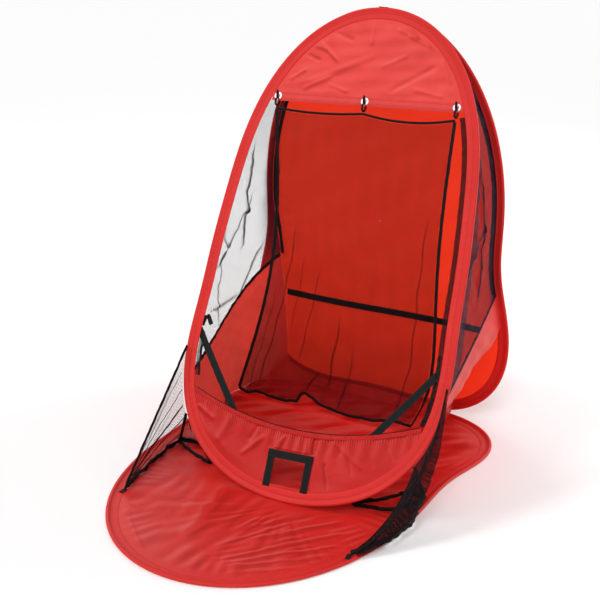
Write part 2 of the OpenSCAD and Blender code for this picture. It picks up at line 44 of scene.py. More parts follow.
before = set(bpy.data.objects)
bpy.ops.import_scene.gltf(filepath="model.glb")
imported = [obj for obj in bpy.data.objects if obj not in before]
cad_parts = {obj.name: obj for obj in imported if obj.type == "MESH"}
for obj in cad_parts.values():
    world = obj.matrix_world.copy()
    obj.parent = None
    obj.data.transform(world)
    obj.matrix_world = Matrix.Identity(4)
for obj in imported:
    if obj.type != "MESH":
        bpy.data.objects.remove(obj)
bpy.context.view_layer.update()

# the three hoops: their lengths and the cosine terms of their outlines, then where their planes stand
hoops = {
    "floor": {"length": 1.130, "shape": (-0.65, 0.15, -0.196, 0.1, 0.0)},
    "back": {"length": 1.148, "shape": (0.085, 0.212, 0.106, -0.033, 0.0325)},
    "front": {"length": 1.318, "shape": (0.094, 0.294, 0.079, 0.025, 0.025)},
}
place = {"seamY": 0.565, "hinge": (0.572457, 0.005), "backRise": 0.0022, "backLean": 3.1,
         "apex": (0.0, 0.505462, 1.15326), "frontTilt": 28.8544, "frontTurn": 3.3, "halfStack": 0.0048}
sides = {-1: "left", 1: "right"}


def hoopPoint(hoop, turn, inset=0.0):
    # radius = 1 + sum of shape[k] cos(k turn), scaled to the hoop's length and moved in along its normal
    shape, turn = hoops[hoop]["shape"], np.asarray(turn, float)
    r = 1 + sum(s * np.cos(k * turn) for k, s in enumerate(shape, 1))
    dr = -sum(s * k * np.sin(k * turn) for k, s in enumerate(shape, 1))
    foot = 1 + sum(s * (-1) ** k for k, s in enumerate(shape, 1))
    scale = hoops[hoop]["length"] / (1 + sum(shape) + foot)
    du, dv = dr * np.sin(turn) + r * np.cos(turn), dr * np.cos(turn) - r * np.sin(turn)
    norm = np.hypot(du, dv)
    return (scale * r * np.sin(turn) + inset * dv / norm,
            scale * (r * np.cos(turn) + foot) - inset * du / norm)


def turnAt(hoop, v):
    # the turn at which the hoop's right half passes height v
    turns = np.linspace(radians(165), 0, 1200)
    return np.interp(v, hoopPoint(hoop, turns)[1], turns)


def hoopHalf(hoop, v, inset):
    # half width of the inset outline beside height v of the hoop
    return float(hoopPoint(hoop, turnAt(hoop, v), inset)[0])


def edgeU(hoop, v, inset):
    # half width inside the sleeve at height v, found on the inset outline itself
    u, w = hoopPoint(hoop, np.linspace(radians(178), 0, 1600), inset)
    keep = np.maximum.accumulate(w) <= w + 1e-9
    return np.interp(v, w[keep], u[keep])


def onFloor(u, v, n):
    u, v, n = np.broadcast_arrays(u, v, n)
    return np.stack([u, v - place["seamY"], n], -1).astype(float)


def onBack(u, v, n):
    # plane through the rear hinge, leaning forward; n points to the front
    u, v, n = np.broadcast_arrays(u, v, n)
    a, v = radians(90 + place["backLean"]), v + place["backRise"]
    return np.stack([u, place["hinge"][0] + v * cos(a) - n * sin(a),
                     place["hinge"][1] + v * sin(a) + n * cos(a)], -1)


def onFront(u, v, n):
    # plane through the apex, tilted back and turned a little about it; n points to the front
    u, v, n = np.broadcast_arrays(u, v, n)
    t, a = radians(place["frontTurn"]), radians(90 - place["frontTilt"])
    w, m = v - hoops["front"]["length"], n + place["halfStack"]
    x, y = u * cos(t) - w * sin(t), u * sin(t) + w * cos(t)
    ax, ay, az = place["apex"]
    return np.stack([ax + x, ay + y * cos(a) - m * sin(a), az + y * sin(a) + m * cos(a)], -1)


planes = {"floor": onFloor, "back": onBack, "front": onFront}
frontAcross, frontUp, frontOut = (onFront(*axis) - onFront(0, 0, 0) for axis in np.eye(3))
frontNormal = frontOut.tolist()
backNormal = (onBack(0, 0, 1) - onBack(0, 0, 0)).tolist()


def lerp(a, b, t):
    return a + (b - a) * t


def smooth(t):
    t = np.clip(t, 0, 1)
    return t * t * (3 - 2 * t)


def bell(t):
    return np.exp(-t ** 2)


def ripple(x, y, waves):
    # sum of sine waves: each is (amplitude mm, wave length mm, direction in degrees, phase)
    return sum(high / 1000 * np.sin(tau * (x * cos(radians(angle)) + y * sin(radians(angle))) / length * 1000 + phase)
               for high, length, angle, phase in waves)


def crease(x, y, lines, fade=0.2):
    # soft ridges along straight lines, fading at their ends: each is (x0, y0, x1, y1, height, half width) in mm
    out = 0
    for x0, y0, x1, y1, high, wide in np.array(lines) / 1000:
        dx, dy = x1 - x0, y1 - y0
        size = hypot(dx, dy)
        along = ((x - x0) * dx + (y - y0) * dy) / size ** 2
        off = ((x - x0) * dy - (y - y0) * dx) / size
        out = out + high * bell(off / wide) * smooth(along / fade) * smooth((1 - along) / fade)
    return out


def gridMesh(name, points, uv, closeU=False, closeV=False, caps=False, flip=False, **attributes):
    # points is (rows, columns, 3); uv is (rows, columns, 2), one longer where the grid is closed
    nu, nv = points.shape[:2]
    i, j = np.meshgrid(np.arange(nu if closeU else nu - 1), np.arange(nv if closeV else nv - 1), indexing="ij")
    corners = [(i, j), (i + 1, j), (i + 1, j + 1), (i, j + 1)]
    quads = np.stack([a % nu * nv + b % nv for a, b in corners], -1).reshape(-1, 4)
    uvIndex = np.stack([a * uv.shape[1] + b for a, b in corners], -1).reshape(-1, 4)
    if flip:
        quads, uvIndex = quads[:, ::-1], uvIndex[:, ::-1]
    faces = quads.tolist()
    loopsUv = uv.reshape(-1, 2)[uvIndex.reshape(-1)]
    if caps:
        first, last = np.arange(nv), (nu - 1) * nv + np.arange(nv)
        faces += [e.tolist() for e in (first[::-1] if flip else first, last if flip else last[::-1])]
        loopsUv = np.vstack([loopsUv, np.zeros((2 * nv, 2))])
    mesh = bpy.data.meshes.new(name)
    mesh.from_pydata(points.reshape(-1, 3).tolist(), [], faces)
    mesh.uv_layers.new(name="UVMap").data.foreach_set("uv", loopsUv.astype(np.float32).ravel())
    for key, values in attributes.items():
        mesh.attributes.new(key, "FLOAT", "POINT").data.foreach_set("value", np.asarray(values, np.float32).ravel())
    mesh.polygons.foreach_set("use_smooth", np.ones(len(faces), bool))
    mesh.update()
    obj = bpy.data.objects.new(name, mesh)
    bpy.context.scene.collection.objects.link(obj)
    return obj


def tubeUv(along, around):
    # U runs along the piece, V round it and back to its start
    return np.stack(np.broadcast_arrays(along[:, None], np.append(around, around[0])[None]), -1)


def foldShade(u, v, n, toward, full):
    # slope of the height n against a direction in the sheet, as -1..1; full is the slope that counts as 1. It feeds
    # painted light and shade: flanks facing that direction are painted paler, the others darker
    du, dv = np.gradient(u, axis=1), np.gradient(v, axis=0)
    gu = np.gradient(n, axis=1) / np.where(np.abs(du) < 1e-6, 1e-6, du)
    gv = np.gradient(n, axis=0) / np.where(np.abs(dv) < 1e-6, 1e-6, dv)
    return np.clip(-(gu * toward[0] + gv * toward[1]) / full, -1, 1)


def arcLength(path):
    return np.concatenate([[0], np.cumsum(np.linalg.norm(np.diff(path, axis=0), axis=1))])


def resample(path, step):
    # the same line with evenly spaced points
    path = np.asarray(path, float)
    s = arcLength(path)
    t = np.linspace(0, s[-1], max(4, int(s[-1] / step) + 1))
    return np.stack([np.interp(t, s, path[:, k]) for k in range(3)], -1)


def curveThrough(knots, step=0.004):
    # Catmull-Rom line through the knots
    p = np.asarray(knots, float)
    p = np.vstack([2 * p[0] - p[1], p, 2 * p[-1] - p[-2]])
    t = np.linspace(0, 1, 24, endpoint=False)[:, None]
    parts = [0.5 * (2 * b + (c - a) * t + (2 * a - 5 * b + 4 * c - d) * t ** 2 + (3 * b - a - 3 * c + d) * t ** 3)
             for a, b, c, d in zip(p[:-3], p[1:-2], p[2:-1], p[3:])]
    return resample(np.vstack(parts + [p[-2][None]]), step)


def unit(v):
    return v / np.maximum(np.linalg.norm(v, axis=-1, keepdims=True), 1e-12)


def power(x, exponent):
    # a power that keeps the sign, which squares off the round of a cross-section
    return np.sign(x) * np.abs(x) ** exponent


ribbonLook = {"around": 16, "waveLengths": (0.031, 0.052, 0.085), "rollLengths": (0.023, 0.044, 0.07),
              "waveShare": 0.35, "rollShare": 60}


def ribbon(name, path, width, thick, side, step=0.004, wobble=0.0, seed=0, taper=None, square=3.0, gather=0.0):
    # a flat tape carried along a path: a rounded rectangle, wide along side, with slow waves of size wobble
    path = resample(path, step)
    s = arcLength(path)
    ahead = unit(np.gradient(path, axis=0))
    side = np.broadcast_to(np.asarray(side, float), path.shape)
    across = unit(side - ahead * np.sum(side * ahead, 1, keepdims=True))
    face = np.cross(ahead, across)
    r = np.random.default_rng(seed)
    if wobble:
        phases = r.uniform(0, 6.28, 6)
        wave = sum(np.sin(s * tau / l + p) for l, p in zip(ribbonLook["waveLengths"], phases[:3]))
        roll = sum(np.sin(s * tau / l + p) for l, p in zip(ribbonLook["rollLengths"], phases[3:]))
        path = path + face * (wave * wobble * ribbonLook["waveShare"])[:, None]
        c, q = (f(roll * wobble * ribbonLook["rollShare"])[:, None] for f in (np.cos, np.sin))
        across, face = across * c + face * q, face * c - across * q
    a = np.linspace(0, tau, ribbonLook["around"], endpoint=False)
    cx, cy = power(np.cos(a), 1 / square) * width / 2, power(np.sin(a), 2 / square) * thick / 2
    scale = np.ones(len(path)) if taper is None else np.interp(s / s[-1], *taper)
    pts = path[:, None] + across[:, None] * (cx * scale[:, None])[..., None] + face[:, None] * cy[None, :, None]
    return gridMesh(name, pts, tubeUv(s, cx), closeV=True, caps=True, gather=np.full(pts.shape[:2], gather))


class Paint:
    # a principled surface; any input takes a value or the socket of another node
    def __init__(self, name, color, rough, specular=0.5, **inputs):
        self.material = bpy.data.materials.new(name)
        self.material.use_nodes = True
        self.tree = self.material.node_tree
        self.shader = self.tree.nodes["Principled BSDF"]
        self.feed(self.shader, {"Base Color": (*color, 1), "Roughness": rough, "Specular IOR Level": specular})
        self.feed(self.shader, inputs)

    def feed(self, node, inputs):
        for key, value in inputs.items():
            if isinstance(value, bpy.types.NodeSocket):
                self.tree.links.new(value, node.inputs[key])
            else:
                node.inputs[key].default_value = value
        return node

    def node(self, kind, inputs={}, **settings):
        n = self.tree.nodes.new("ShaderNode" + kind)
        for key, value in settings.items():
            setattr(n, key, value)
        return self.feed(n, inputs)

    def maths(self, operation, *values):
        return self.node("Math", dict(enumerate(values)), operation=operation).outputs[0]

    def mix(self, factor, base, tone):
        return self.node("Mix", {0: factor, 6: base, 7: (*tone, 1)}, data_type="RGBA").outputs[2]

    def uvAxes(self):
        uv = self.node("UVMap", uv_map="UVMap").outputs[0]
        return self.node("SeparateXYZ", {0: uv}).outputs[:2]

    def stitch(self, base, height, u, v, rows, half, share, tone):
        # rows of dashes, each (V, pitch): drawn in their own tone and sunk into the cloth
        if not rows:
            return base, height
        total = None
        for at, pitch in rows:
            near = self.maths("LESS_THAN", self.maths("ABSOLUTE", self.maths("SUBTRACT", v, at)), half)
            dash = self.maths("LESS_THAN", self.maths("FRACT", self.maths("DIVIDE", u, pitch)), share)
            one = self.maths("MULTIPLY", near, dash)
            total = one if total is None else self.maths("MAXIMUM", total, one)
        return self.mix(total, base, tone), self.maths("SUBTRACT", height, self.maths("MULTIPLY", total, 0.0003))

    def bump(self, height, strength=1.0, distance=1.0):
        normal = self.node("Bump", {"Height": height, "Strength": strength, "Distance": distance}).outputs[0]
        self.feed(self.shader, {"Normal": normal})
        return normal


def linear(r, g, b):
    # screen colour 0..255 to scene colour
    c = np.array([r, g, b]) / 255
    return np.where(c <= 0.04045, c / 12.92, ((c + 0.055) / 1.055) ** 2.4)


# fold is the strength of the painted light and shade on creases, paintedLit the tint of the painted light
clothLook = {"blotch": 5.0, "variation": 0.06, "crinkle": 38.0, "crinkleHigh": 0.0022, "weaveHigh": 0.00006,
             "fold": 0.55, "paintedLit": (0.22, 0.085, 0.075), "sheenRough": 0.4, "dashHalf": 0.0008, "dashShare": 0.62}


def clothMaterial(name, color, rough=0.5, sheen=0.05, thread=0.0009, crinkle=0.35, stitches=(), specular=0.35,
                  through=0.25, glow=(255, 60, 28)):
    # plain weave from two crossed sines of the UV, crinkles from ridged noise, and dashed stitch rows at given V;
    # light from behind comes through in the glow's colour
    c, look = linear(*color), clothLook
    paint = Paint(name, c, rough, specular, **{"Sheen Weight": sheen, "Sheen Roughness": look["sheenRough"]})
    node, maths = paint.node, paint.maths
    u, v = paint.uvAxes()
    weave = maths("MULTIPLY", *(maths("SINE", maths("MULTIPLY", axis, tau / thread)) for axis in (u, v)))
    at = node("TexCoord").outputs["Object"]
    blotch = node("TexNoise", {0: at, 2: look["blotch"], 3: 4.0})
    fine = node("TexNoise", {0: at, 2: look["crinkle"], 3: 5.0}, noise_type="RIDGED_MULTIFRACTAL")
    ramp = node("ValToRGB", {0: blotch.outputs[0]})
    dark, light = ramp.color_ramp.elements
    dark.position, dark.color = 0.3, (*(c * (1 - look["variation"])), 1)
    light.position, light.color = 0.7, (*np.minimum(c * (1 + look["variation"]) + 0.004, 1), 1)
    base = ramp.outputs[0]
    # painted light and shade on the creases: the cloth is painted paler on the flank of a crease that faces the light
    # and deeper on the other
    fold = node("Attribute", attribute_name="fold").outputs["Fac"]
    for sign, tone in ((1.0, np.minimum(c * 0.80 + look["paintedLit"], 1)), (-1.0, c * 0.50)):
        flank = maths("MAXIMUM", maths("MULTIPLY", fold, sign), 0.0)
        base = paint.mix(maths("MULTIPLY", flank, look["fold"]), base, tone)
    height = maths("ADD", maths("MULTIPLY", weave, look["weaveHigh"]),
                   maths("MULTIPLY", fine.outputs[0], look["crinkleHigh"] * crinkle))
    base, height = paint.stitch(base, height, u, v, stitches, look["dashHalf"], look["dashShare"], c * 0.62)
    paint.feed(paint.shader, {"Base Color": base})
    normal = paint.bump(height)
    if through:
        back = node("BsdfTranslucent", {0: (*linear(*glow), 1), "Normal": normal})
        mixed = node("MixShader", {0: through, 1: paint.shader.outputs[0], 2: back.outputs[0]})
        paint.feed(paint.tree.nodes["Material Output"], {0: mixed.outputs[0]})
    return paint.material


netLook = {"pitch": 0.0042, "rough": 0.6, "specular": 0.04, "drawnUp": 0.36}


def netMaterial(name, color, thread):
    # diamond netting: threads where either diagonal of the UV is near a whole step; gathers make them wider
    paint = Paint(name, color, netLook["rough"], netLook["specular"])
    maths = paint.maths
    u, v = paint.uvAxes()
    gather = paint.node("Attribute", attribute_name="gather").outputs["Fac"]
    edge = maths("SUBTRACT", 0.5, maths("ADD", maths("MULTIPLY", gather, netLook["drawnUp"]), thread / 2))
    diagonals = []
    for op in ("ADD", "SUBTRACT"):
        d = maths("FRACT", maths("DIVIDE", maths(op, u, v), netLook["pitch"]))
        diagonals.append(maths("GREATER_THAN", maths("ABSOLUTE", maths("SUBTRACT", d, 0.5)), edge))
    paint.feed(paint.shader, {"Alpha": maths("MAXIMUM", *diagonals)})
    return paint.material


tapeLook = {"rough": 0.7, "specular": 0.12, "ribHigh": 0.00009, "dashHalf": 0.0006, "dashShare": 0.6}


def tapeMaterial(name, color, rib, stitches=()):
    # ribbed tape: fine ridges across its length and a twill over them, with a row of stitches near each edge
    c = linear(*color)
    paint = Paint(name, c, tapeLook["rough"], tapeLook["specular"])
    maths = paint.maths
    u, v = paint.uvAxes()
    ribs = maths("SINE", maths("MULTIPLY", u, tau / rib))
    twill = maths("SINE", maths("MULTIPLY", maths("ADD", u, v), tau / (rib * 1.7)))
    height = maths("MULTIPLY", maths("ADD", ribs, twill), tapeLook["ribHigh"])
    base = paint.mix(maths("MULTIPLY_ADD", ribs, 0.5, 0.5), (*(c * 0.7), 1), c * 1.3)
    if stitches:
        base, height = paint.stitch(base, height, u, maths("ABSOLUTE", v), stitches,
                                    tapeLook["dashHalf"], tapeLook["dashShare"], c * 2.4 + 0.01)
    paint.feed(paint.shader, {"Base Color": base})
    paint.bump(height)
    return paint.material


def metalMaterial(name, color, rough):
    # metal with a slightly uneven polish
    paint = Paint(name, color, rough, Metallic=1.0)
    at = paint.node("TexCoord").outputs["Object"]
    noise = paint.node("TexNoise", {0: at, 2: 220.0, 3: 3.0}).outputs[0]
    paint.feed(paint.shader, {"Roughness": paint.maths("MULTIPLY_ADD", noise, 0.18, rough - 0.09)})
    paint.bump(noise, 0.4, 0.0002)
    return paint.material


clothLooks = {
    "floorCloth": dict(color=(206, 28, 22), rough=0.30, crinkle=0.40, thread=0.0011, specular=0.22, through=0.0),
    "backCloth": dict(color=(240, 48, 34), rough=0.42, crinkle=0.22, specular=0.22, through=0.50),
    "wallCloth": dict(color=(228, 46, 38), rough=0.4, specular=0.25, glow=(255, 98, 80)),
    "pocketCloth": dict(color=(192, 27, 22), rough=0.34, crinkle=0.45, specular=0.18, through=0.10),
    "headerCloth": dict(color=(219, 53, 47), rough=0.40, crinkle=0.75, sheen=0.12, specular=0.3, through=0.12),
    "headerHemCloth": dict(color=(212, 56, 52), sheen=0.08, specular=0.22, through=0.0,
                           stitches=((0.0032, 0.0036), (0.0062, 0.0036), (0.0192, 0.0036))),
    "sleeveCloth": dict(color=(206, 34, 29), rough=0.42, crinkle=0.3, specular=0.2, sheen=0.03, through=0.0,
                        stitches=((0.0172, 0.004),)),
    # painted light: the seam strip is painted a paler red than the floor and sleeves, to lift it where it lies in shade
    # at the rear seam
    "seamCloth": dict(color=(232, 48, 36), crinkle=0.3, specular=0.12, through=0.3),
}
cloths = {name: clothMaterial(name, **look) for name, look in clothLooks.items()}
netBlack = netMaterial("netting", (0.010, 0.006, 0.008), 0.205)
wallNet = netMaterial("wallNetting", (0.012, 0.006, 0.016), 0.215)
wingNet = netMaterial("wingNetting", (0.010, 0.006, 0.007), 0.185)
webbing = tapeMaterial("webbing", (20, 23, 24), 0.0024, ((0.0075, 0.0045),))
bindingTape = tapeMaterial("bindingTape", (22, 15, 17), 0.0016, ((0.003, 0.004),))
elasticCord = tapeMaterial("elasticCord", (20, 18, 20), 0.0012)
eyeletMetal = metalMaterial("eyeletMetal", (0.58, 0.58, 0.60), 0.30)
bandSteel = metalMaterial("bandSteel", (0.5, 0.52, 0.55), 0.35)
print("materials ready")


def dress(obj, material, slot, body, *nodes):
    obj.data.materials.append(material)
    if nodes:
        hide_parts(*nodes)
    if body:
        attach(obj, body)
    return obj


def paintNode(name, material):
    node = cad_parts[name]
    for slot in node.material_slots:
        slot.material = material
    if not node.material_slots:
        node.data.materials.append(material)


# sleeves; width is where the inside hem ends, tuck is where a panel goes in under it
sleeveLook = {"turns": 900, "pucker": 0.000225, "floorPucker": 0.35, "hem": 0.0014, "width": 0.033, "tuck": 0.031}


def sleeve(name, hoop, seed):
    # a profile carried round the hoop: a round bead over the band, a stitched groove and a flat hem
    r = np.random.default_rng(seed)
    turn = np.linspace(0, tau, sleeveLook["turns"], endpoint=False)
    hem = sleeveLook["hem"]
    top = [(sleeveLook["width"], 0.0004), (0.0322, hem * 0.8), (0.030, hem), (0.0245, hem * 1.10), (0.019, hem),
           (0.0172, hem * 0.8), (0.0155, hem * 1.1), (0.0128, 0.0023)]
    bead = [(0.0056 + 0.0050 * sin(t), 0.0043 * cos(t)) for t in np.radians(np.linspace(50, -230, 17))]
    d, n = np.array(top + bead + [(d, -n) for d, n in top[::-1]]).T
    if hoop == "floor":
        # the bead stands on the ground and the hem lies flat
        n = np.where(d > 0.0125, n * 0.95 + 0.0016, n + 0.0045)
        n = np.where((d > 0.0105) & (d <= 0.0135), n * 0.9, n)
    u, v = hoopPoint(hoop, turn[:, None], d[None])
    ring = np.append(turn, tau)
    length = arcLength(np.stack([*hoopPoint(hoop, ring), 0 * ring], -1))
    waves = sum(r.uniform(0.5, 1) * np.sin(tau * length[:-1, None] / l + r.uniform(0, 6.28))
                for l in (0.017, 0.029, 0.047, 0.09))
    pucker = sleeveLook["pucker"] * (sleeveLook["floorPucker"] if hoop == "floor" else 1)
    n = n[None] + waves * pucker * bell((d - 0.0205) / 0.010)[None]
    if hoop == "floor":
        n = np.clip(n, 0.0001, 0.0089)
    return gridMesh(name, planes[hoop](u, v, n), tubeUv(length, d), closeU=True, closeV=True, flip=True)


for k, hoop in enumerate(hoops):
    dress(sleeve(hoop + "Sleeve", hoop, 11 + k), cloths["sleeveCloth"], "sleeve_fabric", hoop, hoop + "_sleeve")
    paintNode(hoop + "_band", bandSteel)
    paintNode(hoop + "_ferrule", bandSteel)
print("sleeves made")

discLook = {"rings": 150, "sectors": 560, "spacing": 0.85, "step": 0.0015, "fullSlope": 0.16}


def discPanel(name, hoop, centre, height, tone, paintedLight=None):
    # rings from a centre point out to the sleeve; height(u, v, t) lifts the cloth, t runs 0 at the centre to 1
    turn = np.linspace(0, tau, discLook["sectors"], endpoint=False)
    ou, ov = hoopPoint(hoop, turn, sleeveLook["tuck"])
    t = np.linspace(0, 1, discLook["rings"])[:, None] ** discLook["spacing"]
    t[0] = 0.002
    u, v = lerp(centre[0], ou, t), lerp(centre[1], ov, t)
    n, step = height(u, v, t), discLook["step"]
    # painted shade and light: fold paints each slope paler where it faces the direction tone and darker where it faces
    # away, and adds the painted light from paintedLight
    slope = (height(u + tone[0] * step, v + tone[1] * step, t) - n) / step
    fold = -slope / discLook["fullSlope"] + (paintedLight(u, v) if paintedLight else 0)
    uv = np.stack([u, v], -1)
    obj = gridMesh(name, planes[hoop](u, v, n), np.concatenate([uv, uv[:, :1]], 1), closeV=True,
                   fold=np.clip(fold, -1, 1) * smooth((1 - t) / 0.1))
    area = 0.5 * abs(np.sum(ou * np.roll(ov, -1) - ov * np.roll(ou, -1)))
    return obj, area, (float(np.ptp(ou)), float(np.ptp(ov)))


floorLook = {"thick": 0.0026, "rim": 0.0021, "lowest": 0.0009, "highest": 0.0058,
             "fan": (0.08, 0.43), "fanHeight": 0.00055, "streakHeight": 1.2,
             "waves": ((0.5, 210, 20, 0.4), (0.4, 130, 75, 1.9), (0.3, 90, 130, 0.2)),
             "inside": ((1.1, 120, 140, 0.3), (0.9, 75, 152, 1.3), (0.7, 50, 125, 2.0)),
             "streaks": ((-100, 455, -42, 120, 3.0, 20), (-237, 483, -192, 224, 1.2, 17), (253, 440, 75, 228, 1.9, 7),
                         (278, 389, 123, 200, 1.7, 6), (291, 328, 109, 147, 1.7, 6), (178, 424, 40, 245, -1.3, 9),
                         (301, 234, 156, 116, 1.3, 6), (-311, 253, -215, 223, 1.0, 6), (-235, 190, -92, 55, 1.2, 5),
                         (-186, 480, -128, 217, -1.2, 14), (231, 218, 84, 103, 1.3, 5), (20, 360, 30, 100, -1.2, 20),
                         (120, 330, 20, 160, 1.4, 6), (210, 300, 60, 120, 1.4, 5))}


def floorHeight(u, v, t):
    # streaks that fan out over the apron from the front hoop's foot, long soft ridges, and slow waves elsewhere
    du, dv = u - floorLook["fan"][0], v - floorLook["fan"][1]
    angle = np.arctan2(dv, du)
    fan = np.sin(angle * 17 + 1.0) + 0.6 * np.sin(angle * 29 + 0.3) + 0.5 * np.sin(angle * 43)
    fan = fan * floorLook["fanHeight"] * smooth(np.hypot(du, dv) / 0.12) * smooth((0.40 - v) / 0.1)
    angle = np.arctan2(v - 0.5, u)
    rim = np.sin(angle * 60 + 3 * np.sin(angle * 9)) * 0.0007 * smooth((t - 0.72) / 0.18)
    inside = ripple(u, v, floorLook["inside"]) * smooth((v - 0.47) / 0.12)
    # fine parallel crinkles on the right of the apron, and others down its middle
    bend = 0.004 * np.sin(u * 31 + v * 17) + 0.003 * np.sin(v * 43)
    right = np.sin(tau * (v * 0.64 - u * 0.77 + bend) / 0.024) * smooth(u / 0.08) * smooth((0.46 - v) / 0.1)
    middle = np.sin(tau * (u * 0.99 - v * 0.12 + bend) / 0.046) * smooth((0.1 - u) / 0.1) * smooth((0.48 - v) / 0.1)
    grain = 0.0005 * right * (0.5 + 0.5 * np.sin(v * 37 + u * 21)) \
        + 0.0006 * middle * (0.5 + 0.5 * np.sin(u * 23 + 1))
    streaks = floorLook["streakHeight"] * crease(u, v, floorLook["streaks"])
    h = floorLook["thick"] + ripple(u, v, floorLook["waves"]) + fan + rim + inside + grain + streaks
    return lerp(h, floorLook["rim"], smooth((t - 0.93) / 0.07)).clip(floorLook["lowest"], floorLook["highest"])


def floorTop(x, y):
    # height of what lies on the ground: the sleeve's bead near the outline, then its hem, then the panel
    u, v = hoopPoint("floor", np.linspace(0, tau, 900))
    d = np.sqrt(((x[..., None] - u) ** 2 + (y[..., None] + place["seamY"] - v) ** 2).min(-1))
    return np.interp(d, [0, 0.0125, 0.0155, 0.033, 0.036], [0.0090, 0.0090, 0.0036, 0.0033, 0.0029])


def floorPaintedLight(u, v):
    # painted light: the crumpled cloth inside the tray, which lies in shade, is painted paler
    return 0.75 * smooth((v - 0.50) / 0.10) * smooth((0.30 - np.abs(u)) / 0.06)


floorPanel, area, flat = discPanel("floorPanel", "floor", (0.0, 0.5), floorHeight, (-0.8, 0.6), floorPaintedLight)
dress(floorPanel, cloths["floorCloth"], "panel_fabric", "floor", "floor_panel")

backLook = {"waves": ((1.1, 310, 80, 0.5), (0.8, 170, 35, 2.1), (0.5, 110, 120, 1.0)), "pucker": 0.0006}


def backHeight(u, v, t):
    pucker = backLook["pucker"] * np.sin(np.arctan2(v - 0.55, u) * 48) * smooth((t - 0.75) / 0.2)
    return ((ripple(u, v, backLook["waves"]) + pucker) * smooth((1 - t) / 0.12) - 0.0004).clip(-0.003, 0.0012)


backPanel, area, flat = discPanel("backPanel", "back", (0.0, 0.55), backHeight, (-0.6, 0.8))
dress(backPanel, cloths["backCloth"], "panel_fabric", "back", "back_panel")
print("floor and back panels made")

# the header over the mouth
header = {"hemLow": 1.045, "hemHigh": 1.069, "eyeletV": 1.057, "eyeletPitch": 0.254, "creaseHeight": 1.05,
          "waves": ((0.975, 120, 60, 0.3), (0.75, 75, 120, 1.2), (0.525, 50, 25, 0.4), (0.375, 36, 95, 2.0)),
          "creases": ((-200, 1090, 20, 1190, 2.2, 9), (50, 1080, 190, 1170, -2.2, 8), (-197, 1215, -129, 1188, 2.8, 5),
                      (-190, 1238, -90, 1155, 3.0, 5), (46, 1262, 122, 1232, 2.4, 5), (81, 1244, 162, 1210, 2.6, 5),
                      (151, 1212, 230, 1155, -2.6, 6), (-233, 1103, -181, 1140, 2.6, 6),
                      (-218, 1189, -147, 1160, -2.4, 5), (-12, 1205, -18, 1285, 2.0, 6),
                      (-119, 1100, -47, 1078, 1.8, 5), (-194, 1077, -101, 1125, 2.4, 6), (120, 1100, 220, 1080, 2.2, 6),
                      (20, 1150, 100, 1190, 1.6, 6), (190, 1190, 230, 1110, 2.0, 6), (-140, 1250, -60, 1220, -1.8, 6))}


def headerPanel():
    # rows between the two sides of the hoop, from the hem up to the top
    turns = np.linspace(0.03, float(turnAt("front", header["hemHigh"])) + 0.12, 90)
    ou, ov = hoopPoint("front", turns, sleeveLook["tuck"])
    rows = np.linspace(header["hemHigh"] - 0.001, ov.max() - 0.0004, 90)
    half = np.interp(rows, ov[::-1], ou[::-1])
    x = np.linspace(-1, 1, 220)
    u, v = half[:, None] * x[None], np.repeat(rows[:, None], len(x), 1)
    edge = smooth((1 - np.abs(x[None])) * half[:, None] / 0.03) * smooth((rows[-1] - v) / 0.04)
    n = ripple(u, v, header["waves"]) + crease(u, v, header["creases"]) * header["creaseHeight"]
    n = n * edge * smooth((v - rows[0]) / 0.02 + 0.25)
    # painted shade and light: fold paints each crease's flank paler or darker by its slope against a light from the
    # upper left
    obj = gridMesh("headerPanel", onFront(u, v, n), np.stack([u, v], -1), flip=True,
                   fold=foldShade(u, v, n, (-0.5, 0.87), 0.30))
    return obj, float(np.trapz(2 * half, rows)), (float(2 * half.max()), float(np.ptp(rows)))


headerCloth, area, flat = headerPanel()
dress(headerCloth, cloths["headerCloth"], "header_fabric", "front", "header_panel")


def headerHem():
    # a doubled strip: a flat loop carried along the hem, with holes covered by the eyelets
    u0 = float(edgeU("front", header["eyeletV"], 0.0335))
    u = np.linspace(-u0, u0, 420)
    d, n = np.array([(0.0, -0.0009), (-0.0006, 0.0), (0.0, 0.0010), (0.004, 0.0008), (0.008, 0.0012), (0.016, 0.0012),
                     (0.0195, 0.0008), (0.0236, 0.0011), (0.0240, 0.0), (0.0236, -0.0011), (0.012, -0.0011)]).T
    wave = 0.0005 * np.sin(u * tau / 0.031) + 0.0003 * np.sin(u * tau / 0.017 + 1)
    v = header["hemLow"] + d[None] + 0 * u[:, None]
    n = n[None] + wave[:, None] * smooth((v - header["hemLow"]) / 0.02)
    return gridMesh("headerHem", onFront(u[:, None], v, n), tubeUv(u, d), closeV=True, caps=True)


dress(headerHem(), cloths["headerHemCloth"], "header_fabric", "front", "header_hem")
paintNode("eyelets", eyeletMetal)
print("header made")

# the pocket below the mouth, its gathered casing and the ball gate
pocket = {"low": 0.178, "rise": 0.066, "casing": 0.013, "gateU": -0.010, "gateW": 0.086, "gateV": 0.041, "gateH": 0.066,
          "gather": 0.0066, "deepest": 0.0048, "slow": ((1.6, 190, 15, 0.7), (0.9, 100, 70, 0.2)),
          "folds": ((50, 185, 48, 115, -4.2, 6), (87, 185, 124, 140, -2.0, 5), (176, 185, 218, 125, -1.6, 5),
                    (79, 120, 108, 45, -4.2, 5), (-30, 175, -66, 105, 3.6, 6), (-105, 200, -141, 130, -2.6, 7),
                    (80, 182, 194, 115, 2.0, 7), (125, 185, 163, 95, -1.8, 5), (-153, 95, -90, 160, 2.6, 7),
                    (-308, 205, -240, 170, 2.4, 7), (20, 185, 30, 125, 3.0, 5), (235, 190, 262, 150, -1.3, 5),
                    (-190, 200, -230, 110, 2.2, 10))}
pocketHalf = hoopHalf("front", pocket["low"] + pocket["rise"], sleeveLook["width"])


